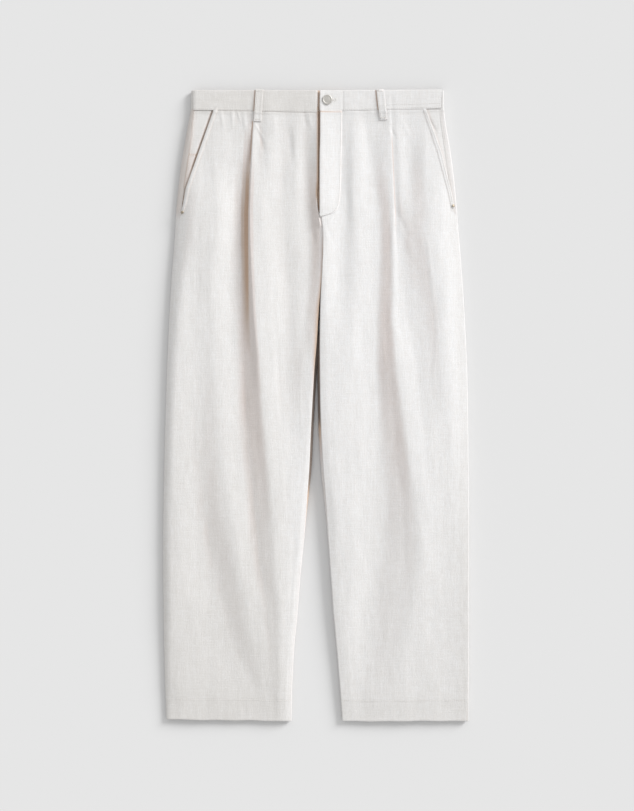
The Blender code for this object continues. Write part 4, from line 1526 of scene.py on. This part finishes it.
@dataclass
class Pocket:
    """Slanted front pocket: the facing that shows in its mouth and the welt on its edge."""

    side: Side
    form: Form

    def facing(self) -> Cloth:
        """The cloth that shows in the mouth.

        Returns:
            The sheet.
        """
        drops = spaced(BAND_END - 6.0, 206.0, 96)
        seam = self.form.seam(self.side, drops)[:, None] + self.side.value * 0.8
        welt = read(MOUTHS[self.side], "welt", drops)[:, None]
        end = welt - self.side.value * 12.0
        x = seam + (end - seam) * spaced(0.0, 1.0, 36)[None, :]
        if self.side is Side.LEFT:
            x = x[:, ::-1]
        points = self.form.on_front(self.side, x, drops[:, None])
        # Painted shade: the mouth's shadow, a line at the facing's seam edge, the shade beside that
        # seam, and below the seam line across the right facing.
        away = np.abs(x - seam)
        to_welt = (welt - x) * -self.side.value
        mouth = bell(np.maximum(0.0, to_welt - 7.0), 2.4)
        edge_line = 0.22 * bell(away, 1.2)
        below = 0.12 * ease((drops - 107.0) / 4.0)[:, None]
        beside = 0.20 * bell(away, 5.0)
        shut = (1.0 - 0.45 * ease((drops - 112.0) / 40.0))[:, None]
        if self.side is Side.RIGHT:
            seam_line = 0.4 * bell(drops - 109.0, 1.4)[:, None]
            crease = np.clip(below + beside + 0.8 * mouth * shut + seam_line + edge_line, 0.0, DEEP)
            sunk = -0.3 - 0.5 * ease(away / 4.0) - 2.4 * mouth * shut - seam_line
            return Cloth(points, crease).lifted(sunk)
        crease = 0.12 * mouth * shut + 0.5 * edge_line
        return Cloth(points, crease).lifted(-0.2 - 0.7 * ease(away / 4.0))

    def welt(self) -> Cloth:
        """The folded strip along the mouth.

        Returns:
            The sheet.
        """
        table, shape = MOUTHS[self.side], WELTS[self.side]
        drops = spaced(30.5, shape.end, 90)
        opening = read(table, "opening", drops)[:, None]
        inner = read(table, "welt", drops)[:, None] - self.side.value * 0.5
        x = opening + (inner - opening) * spaced(0.0, 1.0, 10)[None, :]
        if self.side is Side.LEFT:
            x = x[:, ::-1]
        points = self.form.on_front(self.side, x, drops[:, None])
        # Painted shade along the welt's inner line and in its turned edges.
        crease = shape.crease * bell(x - inner, 0.9)
        dome = np.sin(math.pi * np.clip((x - opening) / (inner - opening), 0.0, 1.0))
        points[..., 2] += shape.dome * dome
        sheet = Cloth(points, crease).lifted(shape.lift)
        sheet = sheet.turned(Edge.FIRST_COLUMN, shape.radius, 2.0, dark=shape.first_dark)
        return sheet.turned(Edge.LAST_COLUMN, shape.radius, 0.6, dark=shape.last_dark)

    def build(self, denim: bpy.types.Material, facing_denim: bpy.types.Material) -> None:
        """Make and dress both pieces.

        Args:
            denim: The cloth's finish.
            facing_denim: The facing's finish.
        """
        word = self.side.word
        facing = self.facing().dressed(
            f"pocket_facing_cloth_{word}", f"pocket_facing_{word}", "facing_denim", facing_denim)
        welt = self.welt().dressed(
            f"pocket_welt_cloth_{word}", f"pocket_welt_{word}", "welt_denim", denim)


@dataclass
class BeltLoop:
    """Strip of doubled cloth over the waistband."""

    name: str
    form: Form
    top_x: float
    bottom_x: float
    bottom_drop: float
    width: float = 13.6
    half: float = 0.75

    def strip(self) -> Cloth:
        """The strip with both long edges folded under.

        Returns:
            The sheet.
        """
        drops = spaced(0.9, self.bottom_drop, 36)
        centre = self.top_x + (self.bottom_x - self.top_x) * drops / self.bottom_drop
        x = centre[:, None] + (self.width - 2.0) * spaced(-0.5, 0.5, 12)[None, :]
        side = Side.RIGHT if self.top_x < 0 else Side.LEFT
        points = self.form.on_front(side, x, drops[:, None])
        lift = 0.8 * np.sin(math.pi * np.clip(drops / self.bottom_drop, 0.0, 1.0))
        lift = lift - 0.3 * ease((drops - 37.0) / 7.0)
        points[..., 2] += (lift + 2.1)[:, None]
        # Painted shade in the loop's turned edge toward -X.
        shaded = 0.8 * ease((drops - 2.5) / 3.0) * ease((self.bottom_drop - 1.5 - drops) / 3.0)
        half = self.half
        sheet = Cloth(points).turned(Edge.FIRST_COLUMN, half, 4.0, dark=shaded)
        sheet = sheet.turned(Edge.LAST_COLUMN, half, 4.0)
        return sheet.turned(Edge.FIRST_ROW, half, 3.0).turned(Edge.LAST_ROW, half, 3.0)

    def build(self, denim: bpy.types.Material) -> None:
        """Args:
            denim: The cloth's finish.
        """
        loop = self.strip().dressed(f"{self.name}_cloth", self.name, "loop_denim", denim)


@dataclass
class Thread:
    """Stitches of one seam or group of seams, gathered into one piece."""

    name: str
    form: Form
    width: float = 0.75
    high: float = 0.36
    stitches: list[Array] = field(default_factory=list)

    def surface(self, side: Side, x: Array, drop: Array, lift: float) -> tuple[Array, Array]:
        """Points and unit normals of the cloth under a seam.

        Args:
            side: Which front the seam lies on.
            x: Distance to the wearer's left.
            drop: Distance down from the waist.
            lift: Height of the cloth's face over the front.

        Returns:
            The points and the normals.
        """
        points = self.form.on_front(side, x, drop)
        height, step = self.form.height, 0.8
        rise_x = (height(side, x + step, drop) - height(side, x - step, drop)) / (2.0 * step)
        rise_y = (height(side, x, drop - step) - height(side, x, drop + step)) / (2.0 * step)
        up = np.stack([-rise_x, -rise_y, np.ones_like(rise_x)], axis=-1)
        up = up / np.linalg.norm(up, axis=-1, keepdims=True)
        return points + up * lift, up

    def lay(self, centre: Array, along: Array, up: Array, length: float) -> None:
        """Add stitches.

        Args:
            centre: Middle of each stitch.
            along: Its direction.
            up: Away from the cloth.
            length: How long each one is.
        """
        across = np.cross(along, up)
        corners = []
        for place, arch, thick in zip((-0.5, -0.3, 0.0, 0.3, 0.5), (0, 0.75, 1, 0.75, 0),
                                      (0.3, 0.85, 1, 0.85, 0.3)):
            middle = centre + along * (place * length) + up * (arch * self.high - 0.10)
            for turn in range(4):
                wide = math.cos(turn * math.pi / 2.0) * self.width / 2.0 * thick
                tall = math.sin(turn * math.pi / 2.0) * self.high / 2.0 * thick
                corners.append(middle + across * wide + up * tall)
        self.stitches.append(np.stack(corners, axis=1))

    @staticmethod
    def steps(path: Sequence[tuple[float, float]], pitch: float, reach: float) -> list[Array]:
        """Points along a path, and the points just before and after them.

        Args:
            path: X and drop of the points that the row follows.
            pitch: From one stitch to the next.
            reach: How far before and after.

        Returns:
            X and drop of the points, of those after and of those before.
        """
        line = np.asarray(path, float)
        along = np.concatenate([[0.0], np.cumsum(np.hypot(*np.diff(line, axis=0).T))])
        middle = np.arange(pitch / 2.0, along[-1], pitch)
        return [np.interp(middle + shift, along, line[:, k])
                for shift in (0.0, reach, -reach) for k in (0, 1)]

    def run(self, side: Side, path: Sequence[tuple[float, float]], lift: float,
            pitch: float = 3.2, length: float = 2.5) -> Thread:
        """Sew a row of stitches.

        Args:
            side: Which front the seam lies on.
            path: X and drop of the points that the row follows.
            lift: Height of the cloth's face over the front.
            pitch: From one stitch to the next.
            length: How long each stitch is.

        Returns:
            The same thread, so that rows may follow one another.
        """
        x, drop, x_next, drop_next, x_last, drop_last = self.steps(path, pitch, 0.4)
        centre, up = self.surface(side, x, drop, lift)
        along = self.surface(side, x_next, drop_next, lift)[0] - self.surface(
            side, x_last, drop_last, lift)[0]
        along = along / np.linalg.norm(along, axis=-1, keepdims=True)
        self.lay(centre, along, up, length)
        return self

    def whip(self, side: Side, path: Sequence[tuple[float, float]], lift: float, length: float,
             pitch: float = 0.75) -> Thread:
        """Sew close stitches across a line, as on a bar or a buttonhole.

        Args:
            side: Which front the seam lies on.
            path: X and drop of the points that the row follows.
            lift: Height of the cloth's face over the front.
            length: How far each stitch reaches across.
            pitch: From one stitch to the next.

        Returns:
            The same thread, so that rows may follow one another.
        """
        x, drop, x_next, drop_next, x_last, drop_last = self.steps(path, pitch, 0.3)
        ahead = np.stack([x_next - x_last, drop_next - drop_last], axis=-1)
        ahead = ahead / np.maximum(np.linalg.norm(ahead, axis=-1, keepdims=True), 1e-9)
        centre, up = self.surface(side, x, drop, lift)
        along = np.stack([ahead[:, 1], ahead[:, 0], np.zeros(len(x))], axis=-1)
        along = along - up * np.sum(along * up, axis=-1, keepdims=True)
        along = along / np.linalg.norm(along, axis=-1, keepdims=True)
        self.lay(centre, along, up, length)
        return self

    def arched(self, side: Side, edge: Sequence[tuple[float, float]], end: float) -> None:
        """Sew along a belt loop, which stands away from the band between its ends.

        Args:
            side: Which leg or front.
            edge: X and drop of both ends of the row.
            end: Drop of its lower end.
        """
        (x_top, start), (x_bottom, stop) = edge
        for drop in np.arange(start, stop, 3.2):
            arch = 0.8 * math.sin(math.pi * (drop + 1.6) / end)
            lift = 2.12 + arch - 0.3 * float(ease((drop - 35.4) / 7.0))
            here, after = (x_top + (x_bottom - x_top) * (d - start) / (stop - start)
                           for d in (drop, drop + 3.2))
            self.run(side, [(here, drop), (after, drop + 3.2)], lift)

    def build(self, finish: bpy.types.Material) -> None:
        """Make and dress the stitches.

        Args:
            finish: The material.
        """
        points = np.concatenate(self.stitches)
        count = len(points)
        ring = np.arange(4)
        quads = [np.stack([4 * k + ring, 4 * k + (ring + 1) % 4, 4 * k + 4 + (ring + 1) % 4,
                           4 * k + 4 + ring], axis=-1) for k in range(4)]
        quads.append(np.array([[3, 2, 1, 0], [16, 17, 18, 19]]))
        faces = np.concatenate(quads)[None, :, :] + 20 * np.arange(count)[:, None, None]
        piece = mesh_piece(self.name, points.reshape(-1, 3), faces.reshape(-1, 4))
        Piece(piece, [], "ecru_denim").ride(finish)


@dataclass
class Sewing:
    """Every visible row of stitches."""

    form: Form

    def waistband(self) -> Thread:
        """Topstitching of the waistband, its lap, the buttonhole and the belt loops.

        Returns:
            The thread with its stitches.
        """
        thread = Thread("stitching_waistband", self.form)
        right, left = np.linspace(-203.0, 5.0, 60), np.linspace(10.0, 208.0, 60)
        thread.run(Side.RIGHT, [(x, float(band_line("bottom", x)) - 2.2) for x in right], BAND_FACE)
        thread.run(Side.LEFT, [(x, float(band_line("bottom", x)) - 2.2) for x in left], BAND_FACE)
        outer = np.linspace(114.0, 208.0, 30)
        thread.run(Side.LEFT, [(x, float(band_line("bottom", x)) - 8.2) for x in outer], BAND_FACE)
        thread.run(Side.LEFT, [(209.0, 13.0), (209.0, 29.5)], BAND_FACE)
        thread.run(Side.LEFT, [(11.2, 4.6), (11.2, 34.0)], 1.2)
        for side, (top, bottom, end) in LOOPS.items():
            for drop, lift in ((4.0, 2.25), (end - 3.0, 1.9)):
                middle = top + (bottom - top) * drop / end
                thread.whip(side, [(middle - 4.6, drop), (middle + 4.6, drop)], lift, 1.9)
            for shift in (-3.6, 3.6):
                edge = [(top + shift, 6.0), (bottom + shift, end - 4.5)]
                thread.arched(side, edge, end)
        thread.whip(Side.LEFT, BUTTONHOLE, BAND_FACE, 1.5)
        return thread

    def fly(self) -> Thread:
        """The stitched J and the edge of the fly.

        Returns:
            The thread with its stitches.
        """
        thread = Thread("stitching_fly", self.form)
        drops = np.linspace(39.0, FLY_BOTTOM, 60)
        ends = read(FLY_CURVE, "x", drops)
        thread.run(Side.LEFT, [(x - 1.7, drop - 1.0) for x, drop in zip(ends, drops)], 0.95)
        thread.run(Side.LEFT, [(11.0, 39.0), (11.0, 206.0)], 1.3)
        return thread

    def pocket(self, side: Side) -> Thread:
        """Rows beside a pocket's welt, its side seam and the facing's seam.

        Args:
            side: Which leg or front.

        Returns:
            The thread with its stitches.
        """
        thread = Thread(f"stitching_pocket_{side.word}", self.form)
        table, sign = MOUTHS[side], side.value
        drops = np.linspace(38.0, 203.0, 60)
        welt = read(table, "welt", drops)
        thread.run(side, [(x - sign * 1.6, drop) for x, drop in zip(welt, drops)], 0.05)
        opening = read(table, "opening", drops)
        thread.run(side, [(x - sign * 1.5, drop) for x, drop in zip(opening, drops)], 0.78)
        seam = self.form.seam(side, drops)
        inside = (opening - seam) * -sign > 3.6
        beside = [(x - sign * 1.8, drop) for x, drop, ok in zip(seam, drops, inside) if ok]
        thread.run(side, beside, -0.35)
        if side is Side.RIGHT:
            thread.run(side, [(-217.5, 111.0), (-201.5, 111.0)], -0.75)
        return thread

    def hem(self, side: Side) -> Thread:
        """The row that holds the turned hem.

        Args:
            side: Which leg or front.

        Returns:
            The thread with its stitches.
        """
        thread = Thread(f"stitching_hem_{side.word}", self.form)
        ends = [float(edge(side, HEM_START)) for edge in (self.form.contour, self.form.inner)]
        x = np.linspace(min(ends) + 2.5, max(ends) - 2.5, 40)
        return thread.run(side, [(here, HEM_START + 1.9) for here in x], 0.16)

    def build(self, finish: bpy.types.Material) -> None:
        """Make and dress all the stitching.

        Args:
            finish: The material.
        """
        threads = [self.waistband(), self.fly()]
        for side in Side:
            threads += [self.pocket(side), self.hem(side)]
        for thread in threads:
            thread.build(finish)


def turned_piece(name: str, profile: Sequence[tuple[float, float]], turns: int) -> bpy.types.Object:
    """Piece turned about Z.

    Args:
        name: Name of the piece.
        profile: Radius and height of each ring, in millimetres.
        turns: Points in a ring.

    Returns:
        The new object.
    """
    angle = np.linspace(0.0, 2.0 * math.pi, turns, endpoint=False)
    rings = []
    for radius, height in profile:
        radius = max(radius, 1e-4)
        rings.append(np.stack([radius * np.cos(angle), radius * np.sin(angle),
                               np.full(turns, height)], axis=-1))
    points = np.stack(rings)
    index = np.arange(len(profile) * turns).reshape(len(profile), turns)
    after = np.roll(index, -1, axis=1)
    quads = np.stack([index[:-1], after[:-1], after[1:], index[1:]], axis=-1)
    return mesh_piece(name, points.reshape(-1, 3), quads.reshape(-1, 4))


@dataclass
class Button:
    """Shank button with a domed rim."""

    form: Form
    x: float = 18.9
    drop: float = 17.9
    profile: Sequence[tuple[float, float]] = (
        (0, -3.4), (2.1, -3.4), (2.1, 0.5), (6.8, 0.5), (7.5, 0.7), (7.95, 1.1), (8.1, 1.6),
        (7.95, 2.1), (7.5, 2.45), (6.9, 2.6), (6.4, 2.5), (6.0, 2.2), (5.5, 2.15), (3.8, 2.35),
        (2.0, 2.45), (0, 2.5))

    def build(self, metal: bpy.types.Material) -> None:
        """Make and dress the button.

        Args:
            metal: The button's finish.
        """
        top = float(self.form.height(Side.LEFT, np.array([self.x]), np.array([self.drop]))[0]) + 1.5
        button = turned_piece("button_shank", self.profile, 72)
        button.location = Vector((self.x, LENGTH / 2.0 - self.drop, top)) * MM
        Piece(button, ["button"], "button_steel").ride(metal)


@dataclass
class Studio:
    """Pale floor, soft light and the camera straight above."""

    height: float = 1.3463
    lens: float = 100.0
    sensor: float = 36.0
    shift: float = 0.0017
    rise: float = 0.0105
    floor_reach: float = 6.0
    floor_drop: float = 0.0006
    floor_tone: float = 0.70
    sky: float = 0.74

    def build(self) -> None:
        """Make the floor, the lights and the camera."""
        floor = bpy.data.meshes.new("floor")
        corners = [(x * self.floor_reach, y * self.floor_reach, -self.floor_drop)
                   for x, y in ((-1, -1), (1, -1), (1, 1), (-1, 1))]
        floor.from_pydata(corners, [], [(0, 1, 2, 3)])
        ground = bpy.data.objects.new("floor", floor)
        bpy.context.scene.collection.objects.link(ground)
        shader = Shader("floor_paper")
        shader.feed("Base Color", (self.floor_tone,) * 3 + (1.0,))
        shader.feed("Roughness", 1.0)
        shader.surface.inputs["Specular IOR Level"].default_value = 0.0
        floor.materials.append(shader.material)
        world = bpy.data.worlds.new("studio")
        bpy.context.scene.world = world
        world.use_nodes = True
        sky = world.node_tree.nodes["Background"]
        sky.inputs["Color"].default_value = (1.0, 1.0, 1.0, 1.0)
        sky.inputs["Strength"].default_value = self.sky
        self.sun("key", 38.0, 23.0, 26.0, 3.14)
        distance = self.height / self.sensor * self.lens + self.rise
        camera = bpy.data.cameras.new("camera")
        camera.lens = self.lens
        camera.sensor_fit = "VERTICAL"
        camera.sensor_height = self.sensor
        camera.clip_end = 50.0
        seen = bpy.data.objects.new("camera", camera)
        seen.location = (self.shift, 0.0, distance)
        bpy.context.scene.collection.objects.link(seen)
        bpy.context.scene.camera = seen
        bpy.context.scene.view_settings.view_transform = "Standard"

    @staticmethod
    def sun(name: str, turn: float, rise: float, spread: float, power: float) -> None:
        """Distant soft light.

        Args:
            name: Name of the lamp.
            turn: Direction it comes from, in degrees from +X toward +Y.
            rise: Degrees above the floor.
            spread: Its apparent size in degrees, which softens the shadows.
            power: Strength facing it.
        """
        light = bpy.data.lights.new(name, "SUN")
        light.angle = math.radians(spread)
        light.energy = power
        lamp = bpy.data.objects.new(name, light)
        toward = Vector((math.cos(math.radians(turn)) * math.cos(math.radians(rise)),
                         math.sin(math.radians(turn)) * math.cos(math.radians(rise)),
                         math.sin(math.radians(rise))))
        lamp.location = toward * 3.0
        lamp.rotation_euler = (-toward).to_track_quat("-Z", "Y").to_euler()
        bpy.context.scene.collection.objects.link(lamp)


def main() -> None:
    """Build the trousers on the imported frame."""
    logging.basicConfig(level=logging.INFO, format="%(name)s %(message)s", force=True)
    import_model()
    form = Form()
    denim = Denim("ecru_slub_denim").made()
    band_denim = Denim("ecru_band_denim").made()
    facing_denim = Denim("ecru_facing_denim", colour=(0.80, 0.797, 0.79)).made()
    steel = Metal("satin_steel", (0.62, 0.60, 0.565), 0.5).made()
    brass = Metal("aged_brass", (0.40, 0.345, 0.27), 0.45).made()
    for side in Side:
        Leg(side, form).build(denim)
    Waistband(form).build(band_denim)
    Fly(form).build(denim)
    for side in Side:
        Pocket(side, form).build(denim, facing_denim)
    for side, line in LOOPS.items():
        BeltLoop(f"belt_loop_{side.word}", form, *line).build(band_denim)
    Sewing(form).build(Yarn("ecru_thread").made())
    Button(form).build(steel)
    for node in ("rivet_right", "rivet_left"):
        bpy.data.objects[node].data.materials.clear()
        bpy.data.objects[node].data.materials.append(brass)
    Studio().build()


if __name__ == "__main__":
    main()
